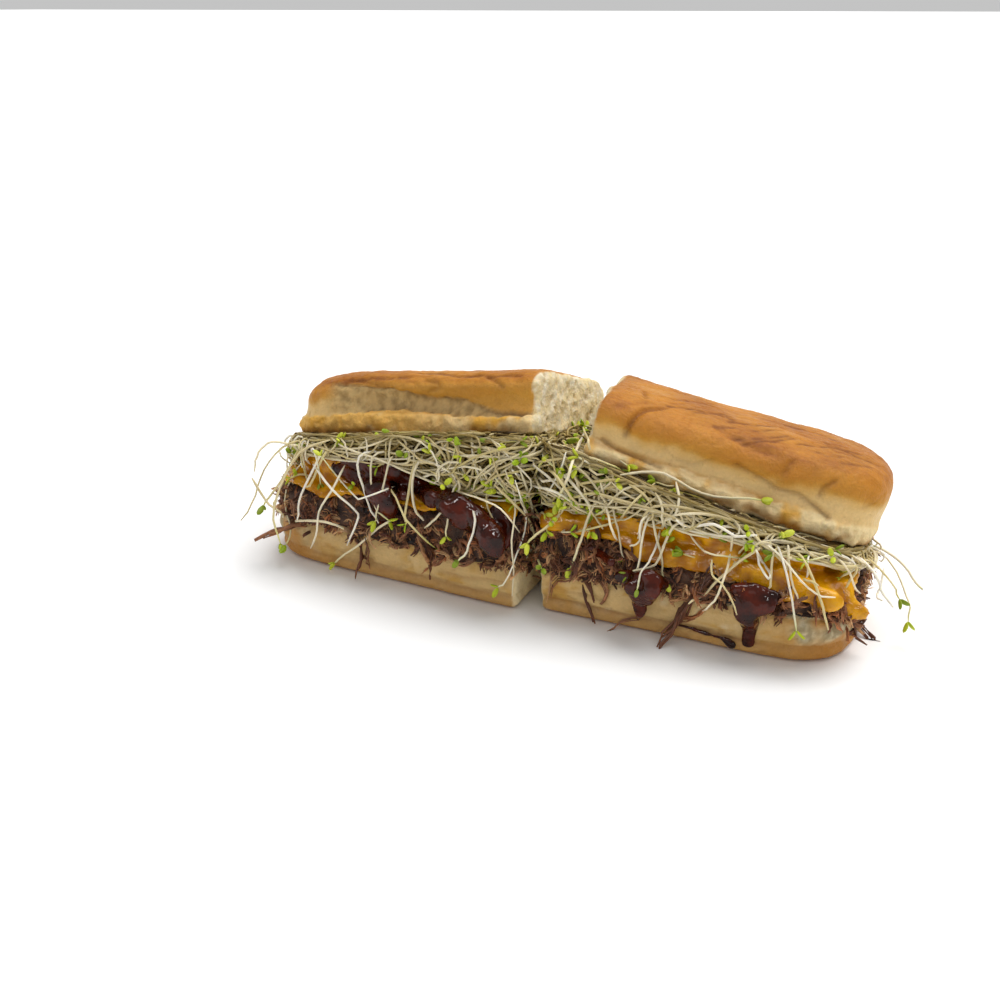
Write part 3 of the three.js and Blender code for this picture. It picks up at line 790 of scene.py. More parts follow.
def top_bread(name, half, material):
    side = half["side"]
    node = f"top_bread_{name}"
    mesh = fine_copy(node, *TOP_BREAD_MESH)
    matrix = top_matrix(half)
    tree = surface(node)
    points, normals = read_points(mesh), read_normals(mesh)
    place = local(points, matrix, side)
    facing = local_direction(normals, matrix, side)
    u, v, height = place.T
    full_height = CUT_HEIGHT + (half["end_height"] - CUT_HEIGHT) * smooth(u, 0, HALF_LENGTH)
    share = height / full_height
    front = smooth(-facing[:, 1], 0.15, 0.75)
    cut_face = smooth(-facing[:, 0], 0.45, 0.85) * smooth(-u, -9, -1)
    wall = 1 - smooth(facing[:, 2], 0.35, 0.85)

    lip_top = 0.27 + 0.05 * noise(points, 14, 3)
    if name == "left":
        recess_top, recess_bottom = (
            edge_share(seen(pixels, tree), matrix, side, u, full_height.mean())
            for pixels in (RECESS_TOP, RECESS_BOTTOM)
        )
        lip_top = np.where(front > 0.05, recess_bottom, lip_top)
    jagged = (0.035 if name == "left" else 0.025) * rough(points, 4, 3, 5)
    lip = (1 - smooth(share + jagged, lip_top - 0.03, lip_top + 0.03)) * wall

    rugged = rough(points, 3.2, 3, 11)
    crumbs = 1 - smooth(pits(points, 4.2, 2), 0.12, 0.34)
    drawn = np.zeros(len(points))
    recess = np.zeros(len(points))
    if name == "left":
        ends = 1 - smooth(u, 86, 96)
        recess = smooth(share + jagged, recess_bottom - 0.02, recess_bottom + 0.03)
        recess *= 1 - smooth(share + 0.5 * jagged, recess_top - 0.03, recess_top + 0.02)
        recess *= front * ends
        drawn += recess * (1.5 + 0.6 * rough(points, 2.6, 3, 63))
    crease_depth, crease_painted_shade = creased(points, tree, TOP_CREASES[name])
    drawn += crease_depth
    crumb = np.clip(np.maximum.reduce([cut_face, lip * 0.9, smooth(-facing[:, 2], 0.5, 0.9)]), 0, 1)
    drawn += crumb * (0.5 * rugged - 0.2) * (1 - 0.5 * cut_face)
    drawn += cut_face * (0.9 * crumbs + 1.0 * noise(points, 7, 24) + 0.35 * rough(points, 2.8, 2, 67))
    drawn -= lip * front * (0.8 + 1.0 * noise(points, 5, 25) + 0.75 * rough(points, 2.4, 2, 26))
    wrinkled = wrinkles(points, (15, 5, 5), 0.1, 70)
    drawn += (1 - crumb) * (0.45 * noise(points, 9, 4) + 0.2 * rough(points, 3, 3, 6) + 0.3 * wrinkled)
    if name == "left":
        back_corner = smooth(v, -8, 24) * (1 - smooth(u, 6, 36))
        outer_corner = smooth(u, 82, 112)
        drawn += smooth(facing[:, 2], 0.1, 0.8) * (2.6 * back_corner + 1.8 * outer_corner)
    wavy = points + 0.9 * swirl(points, 6, 21)
    pressed = np.zeros(len(points))
    for pixels in PRESS_LINES[name]:
        path = seen(pixels, tree)
        if len(path) > 1:
            pressed = np.maximum(pressed, np.exp(-((path_distance(wavy, path) / 0.95) ** 2)))
    drawn += 0.4 * pressed * (1 - crumb)
    write_points(mesh, points - normals * drawn[:, None])

    top_face = smooth(facing[:, 2], 0.25, 0.8)
    browned = smooth(share + 0.10 * noise(points, 17, 8) + 0.05 * noise(points, 5, 9), 0.38, 0.72)
    browned = np.maximum(browned, top_face)
    if name == "left":
        above_recess = 0.75 * smooth(share - recess_top, -0.02, 0.03)
        browned = np.where(front > 0.3, np.maximum(browned, above_recess), browned)
    tint = mixed(PALE, GOLDEN, browned * 1.4)
    tint = mixed(tint, CRUST, browned * 1.5 - 0.55 + 0.25 * noise(points, 13, 12))
    toasted = top_face * (0.25 + 0.5 * noise(points, 22, 14)) + 0.2 * wrinkled
    streaks = noise(place, (9, 1.1, 3), 15) + 0.6 * noise(place, (2, 0.8, 2), 27)
    toasted += top_face * 0.34 * streaks
    tint = mixed(tint, TOASTED, np.clip(toasted, 0, 0.85))
    tint = mixed(tint, PRESSED, 0.8 * pressed * smooth(noise(points, 3, 16), -0.9, 0.2))
    golden_patches = smooth(noise(points, 9, 17) + 0.3 * noise(points, 3, 18), -0.05, 0.6)
    least = 0.35 + 0.5 * smooth(u, 25, 60) if name == "left" else 0.12
    lip_tint = mixed(CRUMB, GOLDEN * 1.25, least + (1 - least) * golden_patches)
    lip_tint = mixed(lip_tint, CRUMB, 0.6 * smooth(rough(points, 6, 2, 68), 0.3, 0.8))
    low = 1 - smooth(share + 0.06 * noise(points, 4, 28), 0.03, 0.17)
    browner = smooth(noise(points, 13, 29) + 0.5 * smooth(u, 50, 85), -0.1, 0.4)
    lip_tint = mixed(lip_tint, CRUST * 0.75, low * browner)
    if name == "left":
        tint = mixed(tint, GOLDEN, 0.4 * (1 - top_face) * (1 - 0.7 * smooth(u, 84, 96)))
    tint = mixed(tint, lip_tint, lip)
    open_crumb = mixed(CRUMB, linear("f8ecd0"), smooth(rough(points, 3, 3, 65), -0.4, 0.8))
    open_crumb = mixed(open_crumb, TAN, 0.6 * crumbs)
    open_crumb = mixed(open_crumb, CRUST, smooth(share, 0.94, 0.99))
    # Painted shade: the crumb of the cut face is darkened to 0.85.
    tint = mixed(tint, open_crumb * 0.85, cut_face)
    # Torn crumb in the recess, darkened with painted shade.
    torn = mixed(PALE * 0.8, TAN * 0.52, smooth(rough(points, 3, 3, 66), -0.5, 0.7))
    tint = mixed(tint, torn, recess * 0.9)
    if name == "left":
        # Painted shadow: a thin dark line under the crust's overhang, over the recess.
        shadow_under_edge = np.exp(-(((share - recess_top + 0.02) / 0.022) ** 2)) * front * ends
        crease_painted_shade = np.maximum(crease_painted_shade, 0.4 * shadow_under_edge * recess)
    tint = mixed(tint, CRUMB, smooth(-facing[:, 2], 0.5, 0.9))
    # Painted shade in the creases and under the overhang.
    tint = mixed(tint, TOASTED * 0.55, crease_painted_shade)
    piece = place_mesh(mesh, material)
    paint(mesh, tint)
    mark(mesh, "Crumb", np.maximum(crumb, 0.6 * recess))
    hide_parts(node)
    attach(piece, "root")
    return piece


# Creases along the bottom breads, as above
BOTTOM_CREASES = {
    "left": [
        ([(441, 571), (462, 577), (484, 580), (505, 584), (526, 592)], 0.9, 1.0, 0.3),
        ([(330, 548), (352, 556), (372, 560)], 0.9, 0.7, 0.2),
    ],
    "right": [
        ([(548, 586), (566, 592), (590, 597), (606, 603)], 0.9, 0.8, 0.2),
        ([(676, 622), (700, 628), (722, 632)], 0.9, 0.7, 0.2),
    ],
}


def bottom_bread(name, half, material):
    side = half["side"]
    node = f"bottom_bread_{name}"
    mesh = fine_copy(node, *BOTTOM_BREAD_MESH)
    matrix = bottom_matrix(half)
    points, normals = read_points(mesh), read_normals(mesh)
    place = local(points, matrix, side)
    facing = local_direction(normals, matrix, side)
    u, v, height = place.T
    cut_face = smooth(-facing[:, 0], 0.45, 0.85) * smooth(-u, -5, -0.5)
    top_face = smooth(facing[:, 2], 0.5, 0.85)
    torn = smooth(u + 6 * noise(points, 15, 31), 84, 96) * smooth(height, 6, 9) * smooth(-v, -5, 15)
    torn *= smooth(noise(points, 8, 33), -0.25, 0.25)
    crumb = np.clip(np.maximum.reduce([cut_face, top_face, torn]), 0, 1)
    above_base = smooth(height, 0.5, 2)
    wrinkled = wrinkles(points, (17, 5, 4), 0.09, 74)
    drawn = (1 - crumb) * (0.5 * noise(points, 11, 34) + 0.22 * rough(points, 3, 3, 36) + 0.35 * wrinkled)
    drawn += crumb * (0.6 * rough(points, 3, 3, 38) - 0.1)
    groove_height = 5.7 + 0.5 * noise(points, 20, 41)
    groove = np.exp(-(((height - groove_height) / 0.8) ** 2)) * (1 - top_face)
    drawn += 0.7 * groove * (0.75 + 0.4 * noise(points, 9, 42))
    crease_depth, crease_painted_shade = creased(points, surface(node), BOTTOM_CREASES[name])
    drawn += crease_depth
    write_points(mesh, points - normals * (drawn * above_base)[:, None])

    low = 1 - smooth(height + 0.8 * noise(points, 10, 43), 3.5, 6.5)
    tint = mixed(PALE, TAN, 0.55 + 0.6 * noise(points, 19, 44))
    tint = mixed(tint, GOLDEN, smooth(rough(points, 14, 3, 45), 0.1, 0.9) * 0.8)
    tint = mixed(tint, CRUMB, smooth(rough(points, 9, 3, 46), 0.25, 0.9) * 0.7)
    tint = mixed(tint, GOLDEN, 0.6 * smooth(rough(points, (9, 5, 3), 3, 48), 0.2, 0.8))
    tint = mixed(tint, TOASTED, 0.35 * smooth(rough(points, (5, 3, 1.6), 3, 49), 0.55, 1.0))
    tint = mixed(tint, RIM, low * 0.7)
    # The groove is darkened with painted shade; the wrinkle lines are browner.
    tint = mixed(tint, TOASTED, np.maximum(groove * 0.5, 0.22 * wrinkled))
    tint = mixed(tint, CRUST, smooth(u, 76, 102) * 0.75 * (1 - torn)) * 0.88
    tint = mixed(tint, CRUST, smooth(-facing[:, 2], 0.6, 0.95) * 0.8)
    # Painted shade in the creases.
    tint = mixed(tint, TOASTED, crease_painted_shade)
    tint = mixed(tint, CRUMB, np.maximum(cut_face, top_face))
    dimpled = smooth(rough(points, 2.4, 2, 47), -0.3, 0.5)
    tint = mixed(tint, mixed(linear("8f8468"), linear("cbbf9f"), dimpled), torn * 0.85)
    piece = place_mesh(mesh, material)
    paint(mesh, tint)
    mark(mesh, "Crumb", crumb)
    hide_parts(node)
    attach(piece, "root")
    return piece


# Beef

BEEF_TINTS = [linear(code) for code in ("976543", "845637", "ab7b51", "6f4228", "c4986a", "5c341f", "a0633a")]
SAUCED = linear("3a1710")  # beef soaked in sauce
SHRED_STEPS = 6
SHRED_TAPER = np.array([0.6, 1, 1, 0.95, 0.8, 0.5])


def scattered(points, triangles, count, random, keep):
    """Random places on a surface, as dense as `keep` says for each triangle's middle and normal."""
    corners = points[triangles]
    cross = np.cross(corners[:, 1] - corners[:, 0], corners[:, 2] - corners[:, 0])
    area = np.linalg.norm(cross, axis=1)
    normals = unit(cross)
    weight = area * keep(corners.mean(axis=1), normals)
    chosen = random.choice(len(triangles), size=count, p=weight / weight.sum())
    first, second = random.random(count), random.random(count)
    flip = first + second > 1
    first, second = np.where(flip, 1 - first, first), np.where(flip, 1 - second, second)
    picked = corners[chosen]
    where = picked[:, 0] + first[:, None] * (picked[:, 1] - picked[:, 0])
    where += second[:, None] * (picked[:, 2] - picked[:, 0])
    return where, normals[chosen]


def any_of(tints, random, count):
    return np.array(tints)[random.integers(len(tints), size=count)]


def bundle_paths(where, normals, sideways, random, length, outward, curl):
    """Curled paths that leave a surface at a low angle and sag."""
    count = len(where)
    sideways = unit(sideways - (sideways * normals).sum(axis=1, keepdims=True) * normals)
    heading = unit(sideways + outward[:, None] * normals)
    step = (length / (SHRED_STEPS - 1))[:, None]
    bend = unit(random.normal(size=(count, 3))) * curl[:, None]
    place = where + normals * 0.3 - heading * length[:, None] * 0.4
    sag = np.array([0, 0, -0.12])
    path = []
    for _ in range(SHRED_STEPS):
        path.append(place)
        place = place + heading * step
        heading = unit(heading + np.cross(bend, heading) + sag + random.normal(size=(count, 3)) * 0.16)
    return np.stack(path, axis=1)


def bundles(paths, random, fibres, size, spread, sides, tints):
    """Fibres that run side by side along each path, twist, and fray at its far end, with painted shade at the
    root and painted light at the tip.
    """
    count = len(paths)
    tangents = unit(np.gradient(paths, axis=1))
    first = unit(np.cross(tangents, [0.3, 0.5, 0.8]))
    second = np.cross(tangents, first)
    angle = random.uniform(0, 2 * math.pi, (count, fibres, 1)) + np.linspace(0, 1.6, SHRED_STEPS)
    away = spread * random.uniform(0.35, 1, (count, fibres, 1)) * np.linspace(0.8, 1.35, SHRED_STEPS)
    away = away * (1 + 0.25 * random.normal(size=away.shape))
    strands = paths[:, None] + away[..., None] * (
        np.cos(angle)[..., None] * first[:, None] + np.sin(angle)[..., None] * second[:, None]
    )
    shift = random.uniform(-0.9, 0.9, (count, fibres, 1, 1)) * (paths[:, -1:] - paths[:, -2:-1])[:, None]
    strands = (strands + shift).reshape(-1, SHRED_STEPS, 3)
    radii = random.uniform(*size, count * fibres)[:, None]
    radii = radii * (1 + 0.25 * random.normal(size=(count * fibres, SHRED_STEPS)))
    radii = np.clip(radii, 0.1, None) * SHRED_TAPER
    points, groups = tubes(strands, radii, sides, 0.75)
    tints = np.repeat(tints, fibres, axis=0) * random.uniform(0.7, 1.3, (count * fibres, 1))
    # Painted shade and light: each fibre runs from 0.6 at its root to 1.45 at its tip.
    along = np.linspace(0.6, 1.45, SHRED_STEPS)
    return points, groups, np.repeat((tints[:, None] * along[:, None]).reshape(-1, 3), sides, axis=0)


# Strands of beef that hang over the bottom breads, as pixels of the photograph, and their radius
HANGING_BEEF = {
    "left": [
        ([(360, 535), (362, 556), (358, 572)], 1.0),
        ([(368, 540), (366, 560), (370, 566)], 0.7),
        ([(426, 545), (431, 560), (429, 576)], 1.1),
        ([(436, 548), (433, 562), (425, 572)], 0.8),
        ([(418, 540), (424, 556), (430, 566)], 0.8),
        ([(300, 525), (282, 530), (262, 538)], 1.6),
        ([(500, 545), (505, 556), (498, 563)], 1.0),
        ([(545, 540), (530, 556), (514, 572)], 2.2),
    ],
    "right": [
        ([(712, 572), (690, 598), (677, 619), (665, 638), (656, 650)], 1.5),
        ([(704, 578), (690, 604), (680, 618), (668, 632)], 0.9),
        ([(678, 620), (694, 617), (706, 608)], 0.8),
        ([(550, 560), (552, 575), (548, 592)], 0.9),
        ([(565, 560), (578, 570), (588, 584), (594, 598)], 1.0),
        ([(575, 568), (568, 573), (556, 576), (550, 590)], 0.7),
        ([(582, 585), (588, 603), (594, 622)], 0.8),
        ([(596, 575), (604, 592), (600, 606)], 0.9),
        ([(640, 618), (622, 622), (610, 634)], 0.6),
        ([(806, 600), (790, 606), (776, 612)], 1.2),
        ([(830, 612), (836, 622), (842, 634)], 1.0),
        ([(846, 616), (852, 630), (860, 642)], 1.0),
        ([(860, 622), (868, 634), (876, 645)], 0.9),
        ([(820, 610), (826, 622), (830, 632)], 0.9),
    ],
}


# Batches of bundles: how many, fibres in each, their radius, the bundle's spread, length, how far it stands
# out, how much it curls, and sides
SHRED_BATCHES = [
    (80, 7, (0.38, 0.56), 1.1, (5, 9), (-0.15, 0.1), (0.0, 0.25), 4),
    (300, 4, (0.3, 0.5), 0.7, (4, 8), (-0.15, 0.15), (0.2, 0.7), 4),
    (420, 4, (0.17, 0.3), 0.6, (4, 7), (-0.1, 0.25), (0.3, 0.9), 3),
    (140, 3, (0.12, 0.2), 0.5, (3, 6), (0.0, 0.5), (0.4, 1.0), 3),
]

# Tufts of beef that sag over the bottom breads: pixel of the photograph, spread in pixels, and bundles
BEEF_TUFTS = {
    "left": [
        (420, 532, 12, 8), (298, 518, 16, 6), (440, 543, 10, 6), (366, 538, 8, 5), (522, 558, 12, 14),
        (480, 543, 10, 4), (506, 554, 8, 8), (528, 570, 6, 8),
    ],
    "right": [
        (552, 558, 12, 12), (580, 566, 14, 12), (604, 566, 12, 8), (628, 562, 8, 5), (702, 584, 12, 10),
        (724, 590, 8, 4), (790, 597, 14, 10), (820, 605, 12, 9), (842, 615, 9, 10), (856, 622, 7, 10),
        (574, 539, 8, 10), (592, 544, 10, 14), (612, 549, 10, 12), (628, 555, 8, 9), (745, 592, 4, 5),
    ],
}
TUFT_SPANS = ((4, 9), (0.1, 0.6), (0.2, 0.7))  # their length, how far they stand out and how much they curl


def beef(name, half, material, solids, trails):
    """The pulled beef: a lumpy core in painted shade under shreds whose ends stand out, and strands over the
    bread.
    """
    random = np.random.default_rng(100 + half["seed"])
    node = f"beef_{name}"
    u = np.concatenate([[0.3, 0.9], np.arange(2, HALF_LENGTH - 0.5, 1.2)])
    t = np.linspace(-0.99, 0.99, 60)[:: -half["side"]]
    grid = np.meshgrid(u, t, indexing="ij")
    level = filling_point(half, *grid).reshape(-1, 3)
    lumps = 1.9 * noise(level, 7, 50) + 0.7 * rough(level, 3.2, 2, 51)
    points, groups = loft(filling_point(half, *grid, (lumps - 1.8).reshape(grid[0].shape)))
    lumps = np.concatenate([lumps, [0, 0]])

    sauce_spots = np.concatenate([trail[0] for trail in trails])[::2]
    sauce_radii = np.concatenate([trail[1] for trail in trails])[::2]

    def from_sauce(centres):
        distance = np.linalg.norm(centres[:, None] - sauce_spots, axis=2) - sauce_radii
        return distance.min(axis=1)

    # Painted shade: the core is 0.2 to 0.45 as bright as the beef, darker where it lies deeper between the
    # shreds.
    painted_shade_core = mixed(BEEF_TINTS[5] * 0.2, BEEF_TINTS[1] * 0.45, smooth(lumps, -0.8, 1.2))
    painted_shade_core = mixed(SAUCED, painted_shade_core, smooth(from_sauce(points), 0, 4))
    parts = [(points, groups, painted_shade_core)]
    quads, ends = groups
    triangles = np.concatenate([quads[:, :3], quads[:, [0, 2, 3]], ends])

    def bare_sides(centres, facing):
        """More shreds on the front and the ends, none on the flat top, and none under the sauce."""
        weight = (facing[:, 2] < 0.8) * (facing[:, 2] > -0.9) * (1 + 1.2 * (facing[:, 1] < -0.2))
        weight = weight * (1 + 2 * (np.abs(facing[:, 0]) > 0.7))
        return weight * (from_sauce(centres) > 0.6)

    for count, fibres, size, spread, length, outward, curl, sides in SHRED_BATCHES:
        where, facing = scattered(points, triangles, count, random, bare_sides)
        sideways = swirl(where, 6, 81)
        sideways += random.normal(size=(count, 3)) * 0.35
        spans = [random.uniform(*span, count) for span in (length, outward, curl)]
        paths = bundle_paths(where, facing, sideways, random, *spans)
        tints = any_of(BEEF_TINTS, random, count)
        tints = mixed(0.5 * tints + 0.5 * SAUCED, tints, smooth(from_sauce(where), 0.5, 5))
        parts.append(bundles(paths, random, fibres, size, spread, sides, tints))
    for x, y, spread, count in BEEF_TUFTS[name]:
        where = seen(np.array([x, y]) + random.normal(size=(count, 2)) * spread / 2, solids)
        count = len(where)
        sideways = np.array([0, 0, -0.6]) + random.normal(size=(count, 3)) * 0.7
        facing = np.tile([0.0, -1.0, 0.1], (count, 1))
        spans = [random.uniform(*span, count) for span in TUFT_SPANS]
        paths = bundle_paths(where, facing, sideways, random, *spans)
        parts.append(bundles(paths, random, 4, (0.2, 0.4), 0.5, 4, any_of(BEEF_TINTS, random, count)))
    for pixels, radius in HANGING_BEEF[name]:
        path = smooth_paths(seen(pixels, solids, 0.6 * radius)[None], SHRED_STEPS)
        path = path + 0.45 * random.normal(size=path.shape)
        tints = BEEF_TINTS[random.integers(len(BEEF_TINTS))][None]
        parts.append(bundles(path, random, 5, (0.35 * radius, 0.6 * radius), 0.4 * radius, 5, tints))
    points, groups, colours = joined(parts)
    piece = make_piece(f"pulled_beef_{name}", kept_inside(points), groups, material, colours)
    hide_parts(node)
    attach(piece, "root")
    return piece


# Sauce

# Trails of sauce as pixels of the photograph, each with the radius of the sauce there in millimetres
SAUCE_TRAILS = {
    "left": [
        [(346, 461, 2.6), (362, 464, 3.2), (380, 467, 3.2), (396, 472, 3.0)],
        [(338, 468, 3.0), (352, 474, 4.0), (366, 484, 4.4), (378, 494, 4.6), (386, 506, 4.6),
         (380, 517, 3.0)],
        [(388, 480, 3.6), (400, 486, 3.2), (404, 496, 2.2)],
        [(404, 482, 2.4), (420, 486, 3.0), (440, 494, 3.6), (455, 503, 4.2), (470, 514, 4.6), (482, 526, 5.0),
         (490, 538, 5.2), (494, 545, 4.4)],
        [(430, 494, 2.4), (446, 508, 3.0), (462, 522, 3.2)],
        [(497, 512, 2.8), (503, 528, 3.4), (502, 542, 3.0)],
        [(368, 466, 3.2), (374, 478, 3.8), (384, 492, 3.8)],
        [(390, 470, 3.0), (404, 478, 3.0), (418, 488, 3.2), (432, 500, 3.4)],
    ],
    "right": [
        [(622, 577, 2.6), (636, 579, 3.4), (650, 580, 3.6), (662, 583, 2.6)],
        [(632, 588, 2.8), (642, 597, 3.6), (652, 590, 3.2)],
        [(640, 602, 2.8), (640, 612, 2.0), (638, 620, 1.0)],
        [(737, 590, 2.4), (750, 592, 3.6), (762, 596, 3.6), (774, 598, 2.6)],
        [(744, 602, 3.6), (756, 606, 4.0), (766, 606, 3.0)],
        [(745, 614, 3.4), (750, 624, 3.0), (749, 636, 2.2), (748, 642, 2.4)],
        [(738, 604, 2.0), (740, 618, 1.8)],
        [(672, 623, 0.9), (690, 628, 1.0), (708, 634, 1.1), (722, 638, 1.2), (731, 645, 1.7)],
        [(590, 548, 1.8), (602, 556, 2.0), (612, 562, 1.6)],
    ],
}
TRAIL_SPACING = 0.8  # millimetres between the balls that a trail is made of
SAUCE_BALL = np.array([1.15, 0.6, 1.1])  # how far a ball is stretched along X, Y and Z


def sauce_trails(name, solids):
    """The sauce's trails as points close together, with the radius at each."""
    trails = []
    for trail in SAUCE_TRAILS[name]:
        controls = seen([spot[:2] for spot in trail], solids, 0.4)
        radii = np.array([spot[2] for spot in trail], dtype=float)
        lengths = np.linalg.norm(np.diff(controls, axis=0), axis=1)
        steps = max(2, int(lengths.sum() / TRAIL_SPACING))
        where = np.linspace(0, len(controls) - 1, steps)
        path = smooth_paths(controls[None], steps)[0]
        trails.append((path, np.interp(where, np.arange(len(radii)), radii)))
    return trails


def sauce(name, material, trails):
    parts = []
    for centres, radii in trails:
        for centre, radius in zip(centres, radii):
            parts.append((*ball(centre, radius * SAUCE_BALL), np.zeros(3)))
    points, groups, _ = joined(parts)
    mesh = remeshed(f"barbecue_sauce_{name}", points, groups, *SAUCE_MESH)
    points, normals = read_points(mesh), read_normals(mesh)
    ripples = 0.4 * noise(points, 5, 61) + 0.22 * noise(points, 2.4, 62)
    write_points(mesh, kept_inside(points + normals * ripples[:, None]))
    piece = place_mesh(mesh, material)
    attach(piece, "root")
    return piece


# Cheese

# Spots where the cheese bulges or droops past its sheet, as pixels of the photograph, and radii there
CHEESE_DROOPS = {
    "left": [((283, 474), 3.5), ((300, 478), 3.2), ((330, 478), 3.0), ((431, 496), 2.6), ((437, 490), 2.4)],
    "right": [
        ((556, 518), 4.5), ((566, 522), 4.2), ((550, 524), 3.2), ((580, 520), 3.5), ((648, 548), 4.0),
        ((668, 552), 4.0), ((690, 556), 4.0), ((712, 548), 5.0), ((728, 560), 5.0), ((750, 572), 4.6),
        ((775, 576), 4.8), ((800, 586), 4.8), ((826, 600), 4.6), ((850, 610), 4.6), ((866, 616), 4.8),
        ((872, 606), 4.2), ((740, 545), 4.0),
    ],
}

CHEESE_DROOP = np.array([1.5, 0.62, 0.9])  # how far such a bulge is stretched along X, Y and Z

# Stretches of the front where the cheese has swollen up against the foot of the heap
CHEESE_BANKS = {"left": (58, 104), "right": (6, 104)}
CHEESE_SWELL = np.array([1.3, 0.9, 0.8])


def cheese(name, half, material, solids):
    random = np.random.default_rng(300 + half["seed"])
    node = f"cheese_{name}"
    parts = [(node_points(node), [node_triangles(node)], np.zeros(3))]
    for pixel, radius in CHEESE_DROOPS[name]:
        for centre in seen([pixel], solids):
            parts.append((*ball(centre, radius * CHEESE_DROOP), np.zeros(3)))
    for around in np.arange(*CHEESE_BANKS[name], 1.8):
        top = heap_edge(half, np.array([around]))[0]
        for up in np.arange(0, top, 0.09):
            where = np.array([around + random.normal()])
            out = np.array([-1.2 + 0.9 * random.normal()])
            centre = heap_wall(half, where, np.array([up]), out)[0]
            parts.append((*ball(centre, random.uniform(1.8, 3.0) * CHEESE_SWELL), np.zeros(3)))
    points, groups, _ = joined(parts)
    mesh = remeshed(f"melted_cheese_{name}", points, groups, *CHEESE_MESH)
    points, normals = read_points(mesh), read_normals(mesh)
    lumps = 0.7 * noise(points, 6, 71) + 0.4 * noise(points, 2.6, 72)
    write_points(mesh, points + normals * lumps[:, None])
    deep = smooth(rough(points, 7, 3, 73) + 0.5 * lumps, -0.7, 0.7)
    piece = place_mesh(mesh, material)
    paint(mesh, mixed(linear("a66604"), linear("e6a60c"), deep))
    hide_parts(node)
    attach(piece, "root")
    return piece


# Sprouts

STEM_STEPS = 13
STEM_SIDES = 5
STEM_TINTS = [linear(code) for code in ("f3e8cc", "e9dcb8", "f7efdc", "e0cfa2", "efe2c0", "dac994")]
STEM_SHADE = np.array([1.0, 1.19, 1.88])  # how fast red, green and blue fall in the painted shade of stems deeper in the heap
LEAF_TINTS = [linear(code) for code in ("b4c22e", "9cb426", "cbd048", "86982a", "bfc83a")]
LEAF_SIZE = np.array([1.9, 1.05, 0.4])
ROOF_STEMS = 230
ROOF_BARE = 6.0  # how far in the heap's top is bare of bread
DROOPING_STEMS = 12

# Stems in the wall of the heap, from deep in it to its face: how many per stretch of the way round (front,
# outer end, back and cut), how far out they lie, how steep and how curled they are, radius and painted
# shading, which darkens the deeper layers as painted shade
STEM_STRETCHES = [(0.0, 0.36), (0.33, 0.5), (0.48, 0.84), (0.83, 1.02)]
STEM_LAYERS = [
    ((120, 34, 50, 50), (-2.2, 0.0), 0.35, 0.08, (0.3, 0.46), 0.13),
    ((90, 26, 40, 40), (-0.5, 1.6), 0.45, 0.12, (0.34, 0.5), 0.34),
    ((84, 26, 30, 36), (1.2, 4.2), 0.6, 0.15, (0.36, 0.56), 0.86),
]

